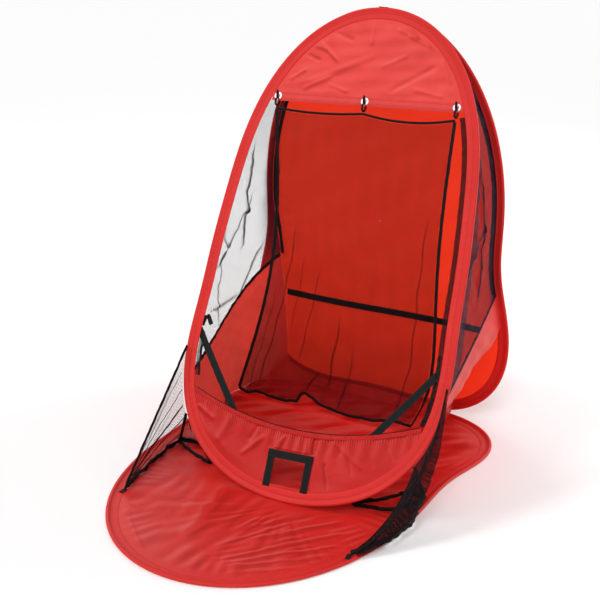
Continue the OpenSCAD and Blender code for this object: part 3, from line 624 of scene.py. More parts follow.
def hemV(u):
    return pocket["low"] + pocket["rise"] * (u / pocketHalf) ** 2


def gatherPhase(u):
    # the casing's pleats and the panel's gathers share one phase, so that each gather leaves a pleat
    return u * tau / pocket["gather"] + 1.3 * np.sin(u * 37) + 0.8 * np.sin(u * 83 + 1)


def nearGate(u, v, margin):
    beside, below = np.abs(u - pocket["gateU"]) - pocket["gateW"] / 2, v - pocket["gateV"] - pocket["gateH"]
    return (beside < margin) & (below < margin)


def pocketPanel():
    # columns from the casing down to the sleeve; gathers hang from the casing and fade downwards
    x, y = np.linspace(-0.992, 0.992, 900)[:, None], np.linspace(0, 1, 90)[None] ** 1.2
    ou, ov = hoopPoint("front", np.linspace(radians(80), pi, 500), sleeveLook["tuck"])
    u = pocketHalf * x + 0 * y
    high = hemV(u[:, :1]) - pocket["casing"] / 2 + 0.001
    low = np.interp(np.abs(u[:, :1]), ou[::-1], ov[::-1])
    v = lerp(high, np.minimum(low, high - 0.0005), y)
    depth = high - v
    small = 0.0011 * np.sin(gatherPhase(u)) * np.exp(-depth / 0.010)
    fold = 0.0022 * np.sin(u * tau / 0.034 + 2.0 * np.sin(u * 19) + depth * 6) * bell((depth - 0.015) / 0.035)
    fold = fold * (0.35 + 0.65 * bell((u - 0.05) / 0.15)) + crease(u, v, pocket["folds"]) * smooth(depth / 0.004)
    edge = smooth((1 - y) * 4) * smooth((1 - np.abs(x)) * 14)
    n = (fold + ripple(u, v, pocket["slow"])) * edge + small
    n = np.clip(n * np.where(nearGate(u, v, 0.024), 0.15, 1.0), -pocket["deepest"], pocket["deepest"])
    # painted shade and light: fold paints each fold's flank paler or darker by its slope against a light from the upper
    # left
    obj = gridMesh("pocketPanel", onFront(u, v, n), np.stack([u, v], -1),
                   fold=foldShade(u.T, v.T, n.T, (-0.8, 0.6), 0.42).T)
    hole = nearGate((u[1:, 1:] + u[:-1, :-1]) / 2, (v[1:, 1:] + v[:-1, :-1]) / 2, 0.001)
    bm = bmesh.new()
    bm.from_mesh(obj.data)
    bm.faces.ensure_lookup_table()
    bmesh.ops.delete(bm, geom=[bm.faces[i] for i in np.flatnonzero(hole.ravel())], context="FACES")
    bm.to_mesh(obj.data)
    bm.free()
    area = np.trapz((high - np.minimum(low, high))[:, 0], u[:, 0]) - pocket["gateW"] * (pocket["gateH"] + 0.008)
    return obj, float(area), (2 * pocketHalf, float(high.max() - low.min()))


pocketCloth, area, flat = pocketPanel()
dress(pocketCloth, cloths["pocketCloth"], "panel_fabric", "front", "pocket_panel")


def pocketCasing():
    # a tube round the elastic, drawn up into small pleats of uneven depth
    u = np.linspace(-(pocketHalf - 0.007), pocketHalf - 0.007, 1500)
    a = np.linspace(0, tau, 16, endpoint=False)
    phase = gatherPhase(u)[:, None]
    pleat = 0.72 + 0.34 * np.sin(phase) + 0.06 * np.sin(u * 410)[:, None]
    waist = 1 - 0.25 * bell((np.cos(a) - 0.1) / 0.16)
    across = power(np.cos(a), 0.8) * pocket["casing"] / 2
    v = hemV(u)[:, None] + across * (1 + 0.10 * np.sin(phase))
    n = 0.0025 * power(np.sin(a), 0.7) * waist * pleat
    pts = onFront(u[:, None] + 0.0009 * np.cos(phase) * np.cos(a), v, n)
    return gridMesh("pocketCasing", pts, tubeUv(u, across), closeV=True, caps=True, flip=True)


dress(pocketCasing(), cloths["pocketCloth"], "panel_fabric", "front", "pocket_casing")
paintNode("pocket_elastic", elasticCord)


def gateFrame():
    # three lengths of webbing folded at the corners into an upside-down U, and a strip of cloth under them
    w, middle = 0.020, pocket["gateU"]
    out, low = pocket["gateW"] / 2 + w / 2, pocket["gateV"] - 0.008
    high = pocket["gateV"] + pocket["gateH"] + w / 2
    legs = {name: ([(middle + s * out, v, 0.0016) for v in (low, high + w / 2)], frontAcross)
            for name, s in (("gateLegLeft", -1), ("gateLegRight", 1))}
    lengths = {**legs, "gateTop": ([(middle + s * (out + w / 2), high, 0.0026) for s in (-1, 1)], frontUp)}
    for k, (name, (ends, across)) in enumerate(lengths.items()):
        piece = ribbon(name, [onFront(*e) for e in ends], w, 0.00128, across, wobble=0.0004, seed=k)
        dress(piece, webbing, "webbing", "front", *(["gate_webbing"] if k == 0 else []))
    ends = [onFront(middle + s * (pocket["gateW"] / 2 + 0.004), 0.036, 0.0) for s in (-1, 1)]
    sill = ribbon("gateSill", ends, 0.010, 0.0018, frontUp, wobble=0.0003, seed=5)
    dress(sill, cloths["pocketCloth"], "panel_fabric", "front")


gateFrame()
print("pocket made")

# the webbing braces of the pocket's hem, their loose ends, and the strap across the back
straps = {"braceV": 0.402, "braceU": 0.188, "braceN": -0.0036, "inset": 0.025, "width": 0.0195, "strapV": 0.278}


def brace(side, name):
    topU, topV, n = hoopHalf("front", straps["braceV"], straps["inset"]), straps["braceV"], straps["braceN"]
    a = np.array([side * topU, topV, n])
    b = np.array([side * straps["braceU"], hemV(straps["braceU"]) - pocket["casing"] / 2, n])
    mid = lerp(a, b, 0.5) - [0, 0.002, 0.001]
    path = curveThrough([onFront(*p) for p in (a, mid, b)])
    across = np.cross(onFront(*b) - onFront(*a), frontNormal)
    dress(ribbon(name + "Brace", path, straps["width"], 0.0015, across, wobble=0.0007, seed=20 + side),
          webbing, "webbing", "front", name + "_brace")
    # the loose end: up behind the sleeve's hem, folded over, and a short flap turned down
    far = 0.0 if side < 0 else 0.018
    tail = [onFront(side * u, topV + dv, n) for u, dv, n in
            ((topU - 0.004, 0.010, -0.0062), (0.337 + far, 0.034, -0.0064), (0.331 + far, 0.036, -0.0088),
             (0.318 + far, 0.016, -0.0100))]
    dress(ribbon(name + "BraceTab", curveThrough(tail, 0.002), 0.0125, 0.0014, frontAcross - side * 0.5 * frontUp,
                 step=0.002, wobble=0.0003, seed=30 + side), webbing, "webbing", "front", name + "_brace_tab")


for side, name in sides.items():
    brace(side, name)
x = np.linspace(-0.297, 0.346, 30)
rearStrap = ribbon("rearStrap", onBack(x, straps["strapV"] + 0.003 * np.sin(x * 9), 0.0034), straps["width"], 0.0014,
                   (0, 0, 1), wobble=0.0005, seed=41)
dress(rearStrap, webbing, "webbing", "back", "rear_strap")
print("straps made")

# the side walls; a pair of values is for the left and for the right
wall = {"topGap": 0.095, "seamV": 0.395, "seamFrontV": {-1: 0.268, 1: 0.290}, "leaveV": {-1: 0.560, 1: 0.300},
        "footU": {-1: 0.297, 1: 0.245}, "freeV": 0.125, "foot": (-0.299, 0.040, 0.0047), "bulge": {-1: 0.074, 1: 0.006},
        "rearInset": 0.022, "frontInset": 0.010, "lowest": 0.004}
heels = {-1: np.array([-hoopHalf("floor", 0.592, 0.041) + 0.012, 0.021, 0.0047]),
         1: np.array([hoopHalf("floor", 0.637, 0.024), 0.072, 0.0047])}


def wallRear(side, v):
    # on the back hoop above, drawn in towards the rear seam below
    v, top = np.asarray(v, float), wall["leaveV"][side]
    hoopU, hoopV = hoopPoint("back", turnAt("back", np.maximum(v, top)), wall["rearInset"])
    low = lerp(wall["footU"][side], hoopHalf("back", top, wall["rearInset"]), (v / top) ** 2)
    off = lerp(0.0051, 0.0019, np.clip(v / 0.060 - 1, 0, 1))
    return onBack(side * np.where(v > top, hoopU, low), np.where(v > top, hoopV, v), np.where(v > top, 0.0019, off))


def wallFront(side, v):
    # down the front hoop; on the left the last part leaves it for the floor
    v = np.asarray(v, float)

    def onHoop(v):
        u, w = hoopPoint("front", turnAt("front", v), wall["frontInset"])
        return onFront(side * u, w, -0.0048)
    if side > 0:
        return onHoop(v)
    t = np.clip(v / wall["freeV"], 0, 1)[..., None]
    return np.where(v[..., None] > wall["freeV"], onHoop(v), lerp(np.array(wall["foot"]), onHoop(wall["freeV"]), t))


def bulge(side, t, amount):
    # the cloth leans out most at a third of the way from the back hoop
    return wall["bulge"][side] * amount * 6.75 * t * (1 - t) ** 2


def wallGrid(side, vb, vf, amount, cols):
    t = np.linspace(0, 1, cols)[None]
    p = lerp(wallRear(side, vb)[:, None], wallFront(side, vf)[:, None], t[..., None])
    return p + bulge(side, t, amount[:, None])[..., None] * np.array([side, 0, 0]), t


def sheetUv(p):
    # flat coordinates in metres: arc length along the rows and down the columns
    du, dv = (np.linalg.norm(np.diff(p, axis=axis), axis=2) for axis in (1, 0))
    u = np.concatenate([np.zeros((p.shape[0], 1)), np.cumsum(du, 1)], 1)
    v = np.concatenate([np.zeros((1, p.shape[1])), np.cumsum(dv, 0)], 0)
    return np.stack([u, v], -1)


def planeUv(p, start, along, beside):
    # flat coordinates in the plane of three points, so that netting keeps square diamonds where a piece narrows
    e1 = unit(np.asarray(along) - start)
    e2 = np.asarray(beside) - start
    e2 = unit(e2 - e1 * (e2 @ e1))
    return np.stack([(p - start) @ e1, (p - start) @ e2], -1)


def gridArea(p):
    a, b = p[1:, 1:] - p[:-1, :-1], p[1:, :-1] - p[:-1, 1:]
    return float(0.5 * np.linalg.norm(np.cross(a, b), axis=2).sum())


def gridNormal(p):
    return unit(np.cross(np.gradient(p, axis=1), np.gradient(p, axis=0)))


def declareSheet(obj, p):
    # works out a flat size, the longest row by the longest column kept to what the area allows, and declares nothing
    # with it
    w, h = (float(side) for side in sheetUv(p).reshape(-1, 2).max(0))
    area = gridArea(p)
    w = min(max(w, 1.01 * area / h), area / h / 0.35)


def wallPiece(obj, material, slot, node, p=None):
    # sewn between two hoops; it rides on the back hoop's body
    dress(obj, material, slot, "back", node)
    if p is not None:
        declareSheet(obj, p)
    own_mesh(obj)


meshLook = {"rows": 150, "cols": 100, "fine": ((1.8, 85, 62, 0.3), (1.2, 50, 118, 1.1), (0.9, 34, 75, 2.0)),
            "creases": {-1: ((100, 450, 420, 700, 10, 10), (50, 620, 300, 830, -9, 8), (160, 300, 200, 660, 11, 6),
                             (220, 760, 440, 800, 8, 6), (300, 550, 380, 860, -6, 8)),
                        1: ((100, 400, 400, 660, 8, 12), (160, 300, 220, 700, 8, 8))},
            "strip": {-1: (0.35, 0.90, 0.08, 0.55, 0.2), 1: (0.42, 0.70, 0.04, 0.25, 0.12)}, "dark": {-1: 0, 1: 0.16}}


def wallMesh(side, name):
    t = np.linspace(0, 1, meshLook["rows"])
    vb = lerp(hoops["back"]["length"] - wall["topGap"], wall["seamV"], t)
    vf = lerp(hoops["front"]["length"] - wall["topGap"], wall["seamFrontV"][side], t)
    p, x = wallGrid(side, vb, vf, 0.4 * t ** 2, meshLook["cols"])
    t, uv = t[:, None], sheetUv(p)
    u, v = uv[..., 0], uv[..., 1]
    calm = smooth(x * 6) * smooth((1 - x) * 6) * smooth((1 - t) * 9)
    height = (crease(u, v, meshLook["creases"][side]) + ripple(u, v, meshLook["fine"])) * calm
    p = p + gridNormal(p) * height[..., None]
    # darker along the creases, in the bunch beside the back hoop and in the narrow strip beside the front one
    thin = [(*ends, 1000, 3) for *ends, _, _ in meshLook["creases"][side]]
    high, fromX, overX, fromT, overT = meshLook["strip"][side]
    strip = high * smooth((x - fromX) / overX) * smooth((t - fromT) / overT)
    gather = crease(u, v, thin) * 0.7 + 0.55 * bell(x / 0.10) + strip + meshLook["dark"][side]
    obj = gridMesh(name + "WallMesh", p, uv, flip=side > 0, gather=np.clip(gather, 0, 0.9))
    wallPiece(obj, wallNet, "netting", name + "_wall_mesh", p)


# tone is painted light and shade: the left wall panel is painted paler, the right one darker
panelLook = {"rows": 110, "cols": 160, "folds": ((5.0, 240, 78, 0.4), (2.6, 120, 60, 2.0), (1.5, 70, 98, 1.0),
                                                 (1.0, 45, 50, 0.6)),
             "drape": 0.006, "tone": {-1: 0.8, 1: -0.5}, "frontLow": {-1: 0.0, 1: 0.026}}


def wallPanel(side, name):
    t = np.linspace(0, 1, panelLook["rows"])
    vf = lerp(wall["seamFrontV"][side], panelLook["frontLow"][side], t)
    p, x = wallGrid(side, lerp(wall["seamV"], 0.006, t), vf, lerp(0.4, 1, t), panelLook["cols"])
    t, uv = t[:, None], sheetUv(p)
    u, v = uv[..., 0], uv[..., 1]
    drape = panelLook["drape"] * np.sin(u * tau / 0.16 + 1) * smooth((t - 0.3) / 0.6)
    height = (ripple(u, v, panelLook["folds"]) + drape) * smooth(x * 7) * smooth((1 - x) * 7) * smooth(t * 8)
    p = p + gridNormal(p) * height[..., None]
    # the lowest rows come down onto what lies on the floor
    drop = (floorTop(p[-1, :, 0], p[-1, :, 1]) + 0.0005 - p[-1, :, 2])[None] * smooth((t - 0.80) / 0.20)
    p[..., 2] += drop * (smooth((1 - x) / 0.14) if side > 0 else 1.0)
    p[..., 2] = np.maximum(p[..., 2], wall["lowest"])
    # painted shade and light: fold paints each fold's flank paler or darker by its slope, and the whole panel paler on
    # the left and darker on the right
    tone = 2 * np.gradient(height, axis=1) / np.gradient(u, axis=1) + panelLook["tone"][side]
    obj = gridMesh(name + "WallPanel", p, uv, flip=side > 0, fold=np.clip(tone, -1, 1))
    wallPiece(obj, cloths["wallCloth"], "panel_fabric", name + "_wall_panel", p)


def wallTapes(side, name):
    v = np.linspace(wall["seamV"] + 0.002, hoops["back"]["length"] - wall["topGap"], 60)
    p = wallRear(side, v) + np.array([side * -0.0083, -0.0015, 0])
    rear = ribbon(name + "WallBinding", p, 0.011, 0.0026, (1, 0, 0), wobble=0.0012, seed=50 + side)
    wallPiece(rear, bindingTape, "binding", name + "_wall_binding")
    t = np.linspace(0.01, 0.985, 50)
    row = lerp(wallRear(side, wall["seamV"]), wallFront(side, wall["seamFrontV"][side]), t[:, None])
    row = row + np.outer(bulge(side, t, 0.4), [side, 0, 0]) + np.array([side * -0.003, 0, 0])
    seam = ribbon(name + "SeamBinding", row, 0.011, 0.0022, (0, 0.2, 1), wobble=0.0012, seed=60 + side)
    wallPiece(seam, bindingTape, "binding", name + "_seam_binding")


selvage = {-1: {"v": (0.385, 0.280), "width": 0.011, "gather": 0.08},
           1: {"v": (1.035, 0.250), "width": 0.022, "gather": 0.52}, "boundV": 0.430}


def wallSelvage(side, name):
    # the netting's turned-in edge, which shows as a dark strip beside the front sleeve's hem, bound at its lower end
    look = selvage[side]
    v = np.linspace(*look["v"], 120)
    p = onFront(side * edgeU("front", v, sleeveLook["width"] + 0.004), v, -0.0050 + 0.0008 * np.sin(v * 170))
    strip = ribbon(name + "Selvage", p, look["width"], 0.0012, frontAcross, wobble=0.0010, seed=110 + side,
                   gather=look["gather"])
    dress(strip, wingNet, "netting", "front")
    low = p[v < selvage["boundV"]] - np.array([side * 0.006, 0, 0])
    bound = ribbon(name + "SelvageBinding", low, 0.0065, 0.0024, frontAcross, wobble=0.0022, seed=120 + side)
    dress(bound, bindingTape, "binding", "front")


for side, name in sides.items():
    wallMesh(side, name)
    wallPanel(side, name)
    wallTapes(side, name)
    wallSelvage(side, name)
print("walls made")

# the wings between the front hoop and the floor's rim
wing = {"topV": 0.348, "freeV": {-1: 0.172, 1: 0.150}, "tipY": 0.282, "tipIn": {-1: 0.038, 1: 0.0198},
        "tipZ": {-1: 0.0052, 1: 0.011}, "bind": 0.0116, "slack": {-1: 0.004, 1: 0.052},
        "spread": {-1: 0.006, 1: 0.046}, "bow": {-1: 0.0, 1: 0.024}, "ripples": {-1: 0.0022, 1: 0.0045},
        "lowest": 0.0040, "out": np.array([0, -0.67, 0.74]),
        "foot": {-1: ((-0.278, 0.026, 0.0075), (-0.236, -0.010, 0.0070), (-0.193, -0.048, 0.0065)),
                 1: ((0.318, 0.056, 0.0080), (0.290, 0.010, 0.0075), (0.222, -0.051, 0.0065))},
        "second": {-1: ((-0.330, 0.010, 0.009), (-0.303, -0.008, 0.0085), (-0.279, -0.021, 0.008),
                        (-0.247, -0.036, 0.0075), (-0.200, -0.050, 0.0065)),
                   1: ((0.372, 0.030, 0.012), (0.330, -0.030, 0.009), (0.280, -0.048, 0.0075),
                       (0.224, -0.055, 0.0065))},
        "gusset": {-1: (-0.282, 0.030, 0.006), 1: (0.322, 0.052, 0.007)},
        "strands": ((0.44, 0.0065, 0.86), (0.33, 0.0022, 0.92), (0.58, 0.0030, 0.80), (0.20, 0.0016, 0.95)),
        "bindingTaper": {-1: None, 1: ((0, 0.12, 0.9, 1), (0.35, 0.9, 1, 0.8))},
        "ropeTaper": ((0, 0.10, 0.28, 0.50, 0.70, 0.88, 1), (0.14, 0.34, 0.62, 1.15, 1.35, 0.8, 0.3))}


def wingTip(side):
    u = hoopHalf("floor", place["seamY"] - wing["tipY"], wing["tipIn"][side])
    return np.array([side * u, -wing["tipY"], wing["tipZ"][side]])


def wingRoot(side, t):
    # the rear edge: down the front of the hoop, then free to the heel on the floor
    t = np.asarray(t, float)

    def onHoop(k):
        v = lerp(wing["topV"], wing["freeV"][side], k)
        u, w = hoopPoint("front", turnAt("front", v), lerp(0.006, -0.004, k))
        return onFront(side * u, w, lerp(0.0048, 0.0, k * k))
    free = lerp(onHoop(1.0), heels[side], (2 * t - 1)[..., None])
    return np.where(t[..., None] < 0.5, onHoop(np.clip(2 * t, 0, 1)), free)


def wingHang(side, t, x):
    # slack: the front edge sags under its own weight and the foot spreads out over the floor's rim
    sag = wing["slack"][side] * (4 * x * (1 - x)) ** 0.8 * (1 - t) ** 1.5
    out = wing["spread"][side] * np.sin(pi * np.clip(x, 0, 1)) * t ** 2
    out = out + wing["bow"][side] * np.sin(pi * np.clip(x, 0, 1) ** 1.1) * (1 - t) ** 1.2
    return np.stack([side * (out + 0.25 * sag), 0.15 * sag - 0.3 * out, -sag], -1)


def wingLine(side, t, x):
    # a line from height t of the rear edge towards the tip
    return lerp(wingRoot(side, t), wingTip(side), x[:, None]) + wingHang(side, t + 0 * x, x)


def wingPiece(obj, material, slot, *nodes, p=None, rests=()):
    # hung from the front hoop; it rides on the front hoop's body
    dress(obj, material, slot, "front", *nodes)
    if p is not None:
        declareSheet(obj, p)
    onFront(0, 0.3, 0).tolist()
    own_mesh(obj)


def wingMesh(side, name):
    t, x = np.linspace(0, 1, 110)[:, None], np.linspace(0, 0.985, 110)[None]
    tip = wingTip(side)
    p = lerp(wingRoot(side, t[:, 0])[:, None], tip[None, None], x[..., None]) + wingHang(side, t, x)
    p[..., 2] += t * wing["bind"] * (1 - 0.4 * x)
    # strands that run together at the tip
    strands = np.sin(t * 26 + 1) + 0.6 * np.sin(t * 47) + 0.4 * np.sin(t * 19 + x * 5)
    ripples = wing["ripples"][side] * strands * smooth(x * 4) * (1 - x) ** 0.5 * smooth(t * 10) * smooth((1 - t) * 10)
    p[..., 0] += ripples - side * 0.010 * np.sin(pi * x) * np.sin(pi * t)
    p[..., 2] = np.maximum(p[..., 2], wing["lowest"])
    tight = np.clip(np.abs(strands) ** 5 / 10, 0, 1) * smooth(x * 3)
    gather = 0.65 * tight * smooth((x - 0.05) / 0.4) + 0.45 * smooth((x - 0.70) / 0.25)
    if side < 0:
        # a bunch at the heel
        gather = gather * 0.22 + 0.5 * np.exp(-((t - 0.93) / 0.06) ** 2 - (x / 0.22) ** 2)
    else:
        # drawn into a dense rope along the free edge, thinner towards the floor
        gather = gather * 0.7 + lerp(0.60, 0.13, smooth((t - 0.30) / 0.50)) + 0.3 * bell((t - 0.97) / 0.05)
    obj = gridMesh(name + "WingMesh", p, planeUv(p, wingRoot(side, 0.0), tip, heels[side]), flip=side > 0,
                   gather=np.clip(gather, 0, 0.97))
    wingPiece(obj, wingNet, "netting", name + "_wing_mesh", p=p, rests=["frontSleeve", name + "WingTab"])


def wingTapes(side, name):
    tip, heel, out = wingTip(side), heels[side], wing["out"]
    t = np.linspace(0.0, 0.995, 60)
    edge = wingLine(side, 0.0, t) + out * (0.0062 * (1 - t[:, None] ** 6))
    wingPiece(ribbon(name + "WingBinding", edge, 0.010, 0.0028, out, wobble=0.0006, seed=70 + side,
                     taper=wing["bindingTaper"][side]), bindingTape, "binding", name + "_wing_binding")
    # the hem runs along the floor from the tip to the heel, and on under the hoop where it is sewn to the panel
    t = np.linspace(0.01, 1.0, 60)
    hem = lerp(tip, heel, t[:, None]) + wingHang(side, 1 + 0 * t, 1 - t) + [0, 0, 0.0050] + \
        np.sin(t[:, None] * 22) * np.array([0.0025, 0, 0.0008])
    hem = np.vstack([hem, curveThrough([heel + [0, 0, 0.0050], *wing["foot"][side]])[1:]])
    # beside it the rear edge, from the hoop down to the heel, and a second row of the hem, bunched at the heel
    rear = wingRoot(side, np.linspace(0.5, 1.0, 30)) + np.array([0, 0, 0.003])
    second = curveThrough(wing["second"][side])
    for part, path, wide, thick, across, wobble, seed in (
            ("WingHem", hem, 0.0125, 0.0042, (0, 0.1, 1) if side < 0 else (0, 0, 1), 0.0030, 80 + side),
            ("WingRearBinding", rear, 0.008, 0.0030, (1, 0.2, 0), 0.0022, 84 + side),
            ("WingGather", second, 0.010, 0.0040, (0, 0.3, 1), 0.0034, 88)):
        wingPiece(ribbon(name + part, path, wide, thick, across, wobble=wobble, seed=seed), bindingTape, "binding")
    if side < 0:
        # threads of the net pulled tight towards the tip
        for j, (t0, wide, end) in enumerate(wing["strands"]):
            k = np.linspace(0.01, end, 40)
            b = wingLine(side, t0, k) + [-0.003, -0.002, 0.004]
            b = b + 0.002 * np.sin(k * 9 + j)[:, None] * np.array([1, 0, 0.5])
            wingPiece(ribbon("leftWingStrand%d" % j, b, wide, 0.0012, out, wobble=0.0012, seed=140 + j, gather=0.34),
                      wingNet, "netting")
    else:
        # the free edge hangs in a rope of drawn-up net
        k = np.linspace(0.0, 0.97, 60)
        b = wingLine(side, 0.0, k) + wingHang(side, 0 * k, k) * 0.06 + out * 0.004 + \
            smooth(k / 0.3)[:, None] * np.array([0.009, 0.003, -0.004])
        wingPiece(ribbon("rightWingRope", b, 0.026, 0.010, (0.8, 0.45, -0.3), wobble=0.0034, seed=93, square=2.0,
                         gather=0.24, taper=wing["ropeTaper"]), wingNet, "netting")
    tab = tip + np.array([[0, 0.006, -0.0009], [side * 0.001, -0.006, -0.0011], [side * 0.002, -0.016, -0.0013]])
    dress(ribbon(name + "WingTab", tab, 0.0125, 0.0015, (1, 0, 0), wobble=0.0002, seed=90 + side),
          webbing, "webbing", "floor", name + "_wing_tab")


def wingGusset(side, name):
    # the small three-cornered piece of net between the rear edge, the hoop and the floor
    top, foot = wingRoot(side, 0.5), np.array(wing["gusset"][side])
    t, x = np.linspace(0.0, 1, 40)[:, None, None], np.linspace(0, 1, 30)[None, :, None]
    p = lerp(top, lerp(heels[side] + [0, 0, 0.005], foot, x), t) + 0.002 * np.sin(x * 17 + t * 5) * np.sin(pi * t)
    obj = gridMesh(name + "WingGusset", p, sheetUv(p), flip=side > 0, gather=0.1 + 0.5 * t ** 6 + 0 * x)
    wingPiece(obj, wingNet, "netting", p=p, rests=["frontSleeve"])


for side, name in sides.items():
    wingMesh(side, name)
    wingTapes(side, name)
    wingGusset(side, name)
print("wings made")

# the target net; t runs across it and s down it
net = {"height": 0.870, "left": 0.352, "right": 0.203, "sag": 0.014, "ringDrop": 0.0040, "ringR": 0.011, "wire": 0.0012,
       "bind": 0.011, "bowL": 0.050, "bowR": 0.036, "deepest": 0.0045, "cut": (0.545, 0.87),
       "hemT": (0.0, 0.052, 0.104, 0.205, 0.281, 0.352, 0.369, 0.392, 0.433, 0.481, 0.56, 0.661, 0.789, 0.912, 1.0),
       "hemZ": (0, -0.012, -0.003, -0.010, -0.009, 0.003, 0.025, 0.036, 0.029, 0.014, 0.005, -0.004, -0.005,
                0.010, 0.010),
       "folds": ((0.15, 0.34, 0.10, 0.97, 0.006), (0.36, 0.45, 0.31, 0.85, 0.005), (0.93, 0.25, 0.88, 0.98, 0.005),
                 (0.53, 0.62, 0.51, 0.93, 0.006), (0.07, 0.55, 0.05, 1.0, 0.003), (0.62, 0.70, 0.60, 0.97, 0.004),
                 (0.47, 0.82, 0.395, 1.0, 0.009), (0.62, 0.86, 0.575, 1.0, 0.006), (0.24, 0.40, 0.22, 0.75, 0.003))}


def ringFoot(k):
    v = header["eyeletV"] - net["ringDrop"] - 2 * net["ringR"] - net["wire"] - 0.0003
    return onFront(k * header["eyeletPitch"], v, 0.0) - np.array([0, 0, net["bind"] / 2])


def netTop(t):
    # two swags between the three rings; the right one hangs deeper
    k = np.where(t < 0.5, 0, 1)
    f = (2 * t - k)[..., None]
    feet = np.array([ringFoot(i) for i in (-1, 0, 1)])
    p = lerp(feet[k], feet[k + 1], f)
    p[..., 2] -= (4 * net["sag"] * f * (1 - f))[..., 0] * np.where(k == 0, 0.5, 1.0)
    return p


def netLow(t):
    z = ringFoot(0)[2] - net["height"] + 0.005 * np.sin(t * pi * 3)
    return np.stack([lerp(-net["left"], net["right"], t), ringFoot(0)[1] + 0.002 + 0 * t, z], -1)


def foldAt(s, t0, s0, t1, s1):
    # where a fold that runs from (t0, s0) to (t1, s1) stands at depth s
    return lerp(t0, t1, np.clip((s - s0) / (s1 - s0), 0, 1))


def netShape(t, s):
    # hanging cloth: folds deepen downwards
    p = lerp(netTop(t), netLow(t), s[..., None])
    y = 0.0014 * np.sin(t * 44 + 3 * s) + 0.0011 * np.sin(t * 71 + 1 + 2 * s) + 0.0016 * np.sin(t * 17 + s * 5)
    for *line, high in net["folds"]:
        y = y + high * 0.4 * bell((t - foldAt(s, *line)) / 0.012) * smooth((s - line[1]) / 0.15)
    p[..., 1] += np.clip(y * smooth(s * 1.3), -net["deepest"], net["deepest"]) * smooth((1 - s) * 30 + 0.3)
    # the hem is uneven and has one tuck
    p[..., 2] += np.interp(t, net["hemT"], net["hemZ"]) * smooth((s - 0.84) / 0.16)
    # the left edge bows inward, the right one outward near its foot
    p[..., 0] += net["bowL"] * np.sin(pi * s) * np.maximum(0, 1 - 2 * t)
    p[..., 0] += net["bowR"] * np.sin(pi * s ** 3) * np.maximum(0, 2 * t - 1)
    return p


def targetNet():
    t, s = np.meshgrid(np.linspace(0.011, 0.989, 260), np.linspace(0.0061, 0.9939, 260), indexing="xy")
    p = netShape(t, s)
    # a little closer where it hangs slack, in faint streaks down and across
    gather = 0.02 + 0.03 * smooth((s - 0.3) / 0.6) + 0.11 * smooth((s - 0.62) / 0.25) \
        + 0.018 * np.sin(t * 60 + 2 * np.sin(s * 7)) * np.sin(s * 9 + t * 4) \
        + 0.014 * np.sin(s * 55 + 3 * np.sin(t * 6)) * smooth((s - 0.2) / 0.3)
    for *line, high in net["folds"]:
        at = foldAt(s, *line) + 0.004 * np.sin(s * 40 + line[0] * 90)
        ends = smooth((s - line[1]) / 0.14) * smooth((line[3] + 0.02 - s) / 0.06)
        gather = gather + (high / 0.011) * bell((t - at) / 0.0034) * ends
    obj = gridMesh("targetNet", p, np.stack([t, s], -1) * net["cut"], flip=True, gather=np.clip(gather, 0, 0.9))
    dress(obj, netBlack, "netting", "net", "target_net")
    declareSheet(obj, p)


targetNet()
edge = np.linspace(0, 1, 160)
inner = lerp(0.004, 0.996, edge)
tapes = {
    "netTopBinding": (edge, 0 * edge, (0, 0, 1), "net_top_binding", 0.0008, 0.0068, None),
    "netBottomBinding": (edge, 0 * edge + 1, (0, 0, 1), "net_bottom_binding", 0.0016, 0.0095, None),
    "netLeftBinding": (0 * edge, inner, (1, 0, 0), "net_left_binding", 0.0010, 0.0095, None),
    "netRightBinding": (0 * edge + 1, inner, (1, 0, 0), "net_right_binding", 0.0010, 0.0095,
                        ((0, 0.88, 0.93, 1), (1, 1, 0.55, 0.55))),
}
for k, (name, (t, s, across, node, wobble, wide, taper)) in enumerate(tapes.items()):
    tape = ribbon(name, netShape(t, s), wide, 0.0026, across, wobble=wobble, seed=100 + k, taper=taper)
    dress(tape, bindingTape, "binding", "net", node)

# the elastic ties in the eyelets
tie = {"strand": 0.0012, "spread": 0.0021, "standV": 1.0735, "standN": 0.0040, "steps": 96, "around": 10}


def tieStrand(name, k, phase):
    # a closed cord: it winds twice round the loop's centre line, which stands square to the hem in the eyelet
    a = np.linspace(0, tau, tie["steps"], endpoint=False)
    turn = 2 * a + phase
    middle = header["eyeletV"] - net["ringDrop"] - net["ringR"]
    r = net["ringR"] + 0.5 * tie["spread"] * np.cos(turn)
    path = onFront(k * header["eyeletPitch"] + tie["spread"] * np.sin(turn), middle + r * np.cos(a), r * np.sin(a))
    ahead = unit(np.roll(path, -1, 0) - np.roll(path, 1, 0))
    across = unit(np.array([1.0, 0, 0]) - ahead * ahead[:, :1])
    other = np.cross(ahead, across)
    b = np.linspace(0, tau, tie["around"], endpoint=False)[None, :, None]
    pts = path[:, None] + tie["strand"] * (across[:, None] * np.cos(b) + other[:, None] * np.sin(b))
    uv = np.stack(np.meshgrid(np.linspace(0, 0.07, tie["steps"] + 1), np.linspace(0, 0.006, tie["around"] + 1),
                              indexing="ij"), -1)
    return gridMesh(name, pts, uv, closeU=True, closeV=True)


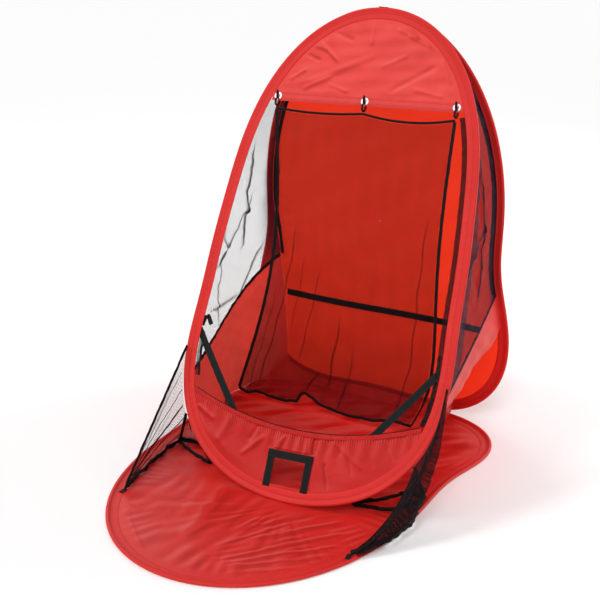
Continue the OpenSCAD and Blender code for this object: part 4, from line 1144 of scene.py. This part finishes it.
for k, name in ((-1, "left"), (0, "middle"), (1, "right")):
    for j in range(3):
        piece = tieStrand(name + "Tie%d" % j, k, j * tau / 3)
        dress(piece, elasticCord, "elastic", "rings", *(["net_rings"] if k == -1 and j == 0 else []))
    # the cord's knotted ends stand up in front of the eyelet
    for j, (shift, high) in enumerate(((-0.0042, 0.0), (-0.0012, -0.003))):
        u, n = k * header["eyeletPitch"] + shift, tie["standN"]
        ends = curveThrough([onFront(u + 0.002, 1.0515, n + 0.0005), onFront(u, 1.061, n + 0.0006),
                             onFront(u - 0.0008, tie["standV"] + high, n)], 0.002)
        dress(ribbon(name + "TieEnd%d" % j, ends, 0.0028, 0.0026, (1, 0, 0), step=0.002, square=2.0),
              elasticCord, "elastic", "front")
print("target net made")

# the tape over the apex, and the strip over the rear seam
apexPath = curveThrough([onBack(0, 1.1470, -0.0043), onBack(0, 1.1482, -0.0020), onBack(0, 1.1484, 0.0030),
                         onFront(0, 1.3184, -0.0005), onFront(0, 1.3178, 0.0030)], step=0.0010)
dress(ribbon("apexTape", apexPath, 0.030, 0.0006, (1, 0, 0), step=0.0010),
      cloths["headerCloth"], "sleeve_fabric", "back", "apex_tape")


def seamCloth():
    # from the floor sleeve's hem up to the back sleeve's hem, bulging a little over the beads
    x = np.linspace(-0.332, 0.236, 280)
    turns = np.linspace(0, radians(75), 900)
    low = onFloor(x, np.interp(np.abs(x), *hoopPoint("floor", turns, 0.026)), 0.0041)
    high = onBack(x, np.interp(np.abs(x), *hoopPoint("back", pi - turns, 0.019)), 0.0025)
    t = np.linspace(0, 1, 24)[None, :, None]
    wave = 0.0006 * np.sin(x * tau / 0.026) + 0.0005 * np.sin(x * tau / 0.041 + 1) + 0.0012
    p = lerp(low[:, None], high[:, None], t) + wave[:, None, None] * np.sin(pi * t) * np.array([0, -0.75, 0.66])
    return gridMesh("rearSeamTape", p, sheetUv(p), flip=True), p


obj, p = seamCloth()
dress(obj, cloths["seamCloth"], "sleeve_fabric", None, "rear_seam_tape")
declareSheet(obj, p)
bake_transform(obj)
print("tapes made")

# white floor, soft lights and the camera
stageLook = {"floor": (0.985, 0.985, 0.985), "half": 60.0, "key": 1.02, "front": 1.10, "fill": 38.0, "rim": 9.0,
             "world": 0.49}
corners, half = np.array([(0.0, 0.0), (0.0, 1.0), (1.0, 0.0), (1.0, 1.0)]).reshape(2, 2, 2), stageLook["half"]
ground = gridMesh("studioFloor", np.concatenate([corners * 2 * half - half, np.full((2, 2, 1), -0.0004)], 2), corners)
ground.data.materials.append(Paint("studioFloor", stageLook["floor"], 0.9).material)

world = bpy.data.worlds.new("studio")
bpy.context.scene.world = world
world.use_nodes = True
wn, wl = world.node_tree.nodes, world.node_tree.links
back, bright = wn["Background"], wn.new("ShaderNodeBackground")
for node, strength in ((back, stageLook["world"]), (bright, 1.0)):
    node.inputs[0].default_value, node.inputs[1].default_value = (1, 1, 1, 1), strength
rays, pick, either = wn.new("ShaderNodeLightPath"), wn.new("ShaderNodeMixShader"), wn.new("ShaderNodeMath")
either.operation = "MAXIMUM"
for k, kind in enumerate(("Is Camera Ray", "Is Glossy Ray")):
    wl.new(rays.outputs[kind], either.inputs[k])
for k, source in enumerate((either, back, bright)):
    wl.new(source.outputs[0], pick.inputs[k])
wl.new(pick.outputs[0], wn["World Output"].inputs[0])


def lamp(name, kind, power, size, at, target):
    # size is the angle of a sun in degrees, or the side of an area lamp
    light = bpy.data.lights.new(name, kind)
    light.energy = power
    if kind == "SUN":
        light.angle = radians(size)
    else:
        light.size = size
    obj = bpy.data.objects.new(name, light)
    bpy.context.scene.collection.objects.link(obj)
    obj.location = at
    obj.rotation_mode = "QUATERNION"
    obj.rotation_quaternion = (Vector(target) - Vector(at)).to_track_quat("-Z", "Y")


lamp("keyLight", "SUN", stageLook["key"], 16, (-2.3, -1.7, 3.0), (0, 0, 0))
lamp("frontLight", "SUN", stageLook["front"], 26, (0.8, -2.3, 2.5), (0, 0, 0))
lamp("rimLight", "AREA", stageLook["rim"], 1.0, (-1.75, 2.45, 1.85), (-0.1, -0.2, 0.0))
lamp("fillLight", "AREA", stageLook["fill"], 1.6, (1.9, 2.6, 1.5), (0.3, 0.4, 0.4))

camera = {"at": (1.39395, -2.62218, 1.60920), "target": (-0.00051, 0.06581, 0.47023), "lens": 76.35, "roll": 1.47}
cam = bpy.data.objects.new("camera", bpy.data.cameras.new("camera"))
bpy.context.scene.collection.objects.link(cam)
bpy.context.scene.camera = cam
cam.data.lens, cam.data.sensor_width = camera["lens"], 36.0
cam.data.clip_start, cam.data.clip_end = 0.05, 60
look = (Vector(camera["target"]) - Vector(camera["at"])).normalized()
right = look.cross(Vector((0, 0, 1))).normalized()
up = right.cross(look)
c, s = cos(radians(camera["roll"])), sin(radians(camera["roll"]))
turned = Matrix((right * c + up * s, up * c - right * s, -look)).transposed().to_4x4()
cam.matrix_world = Matrix.Translation(camera["at"]) @ turned

bpy.context.scene.view_settings.view_transform = "Standard"
bpy.context.view_layer.update()
print("scene ready")
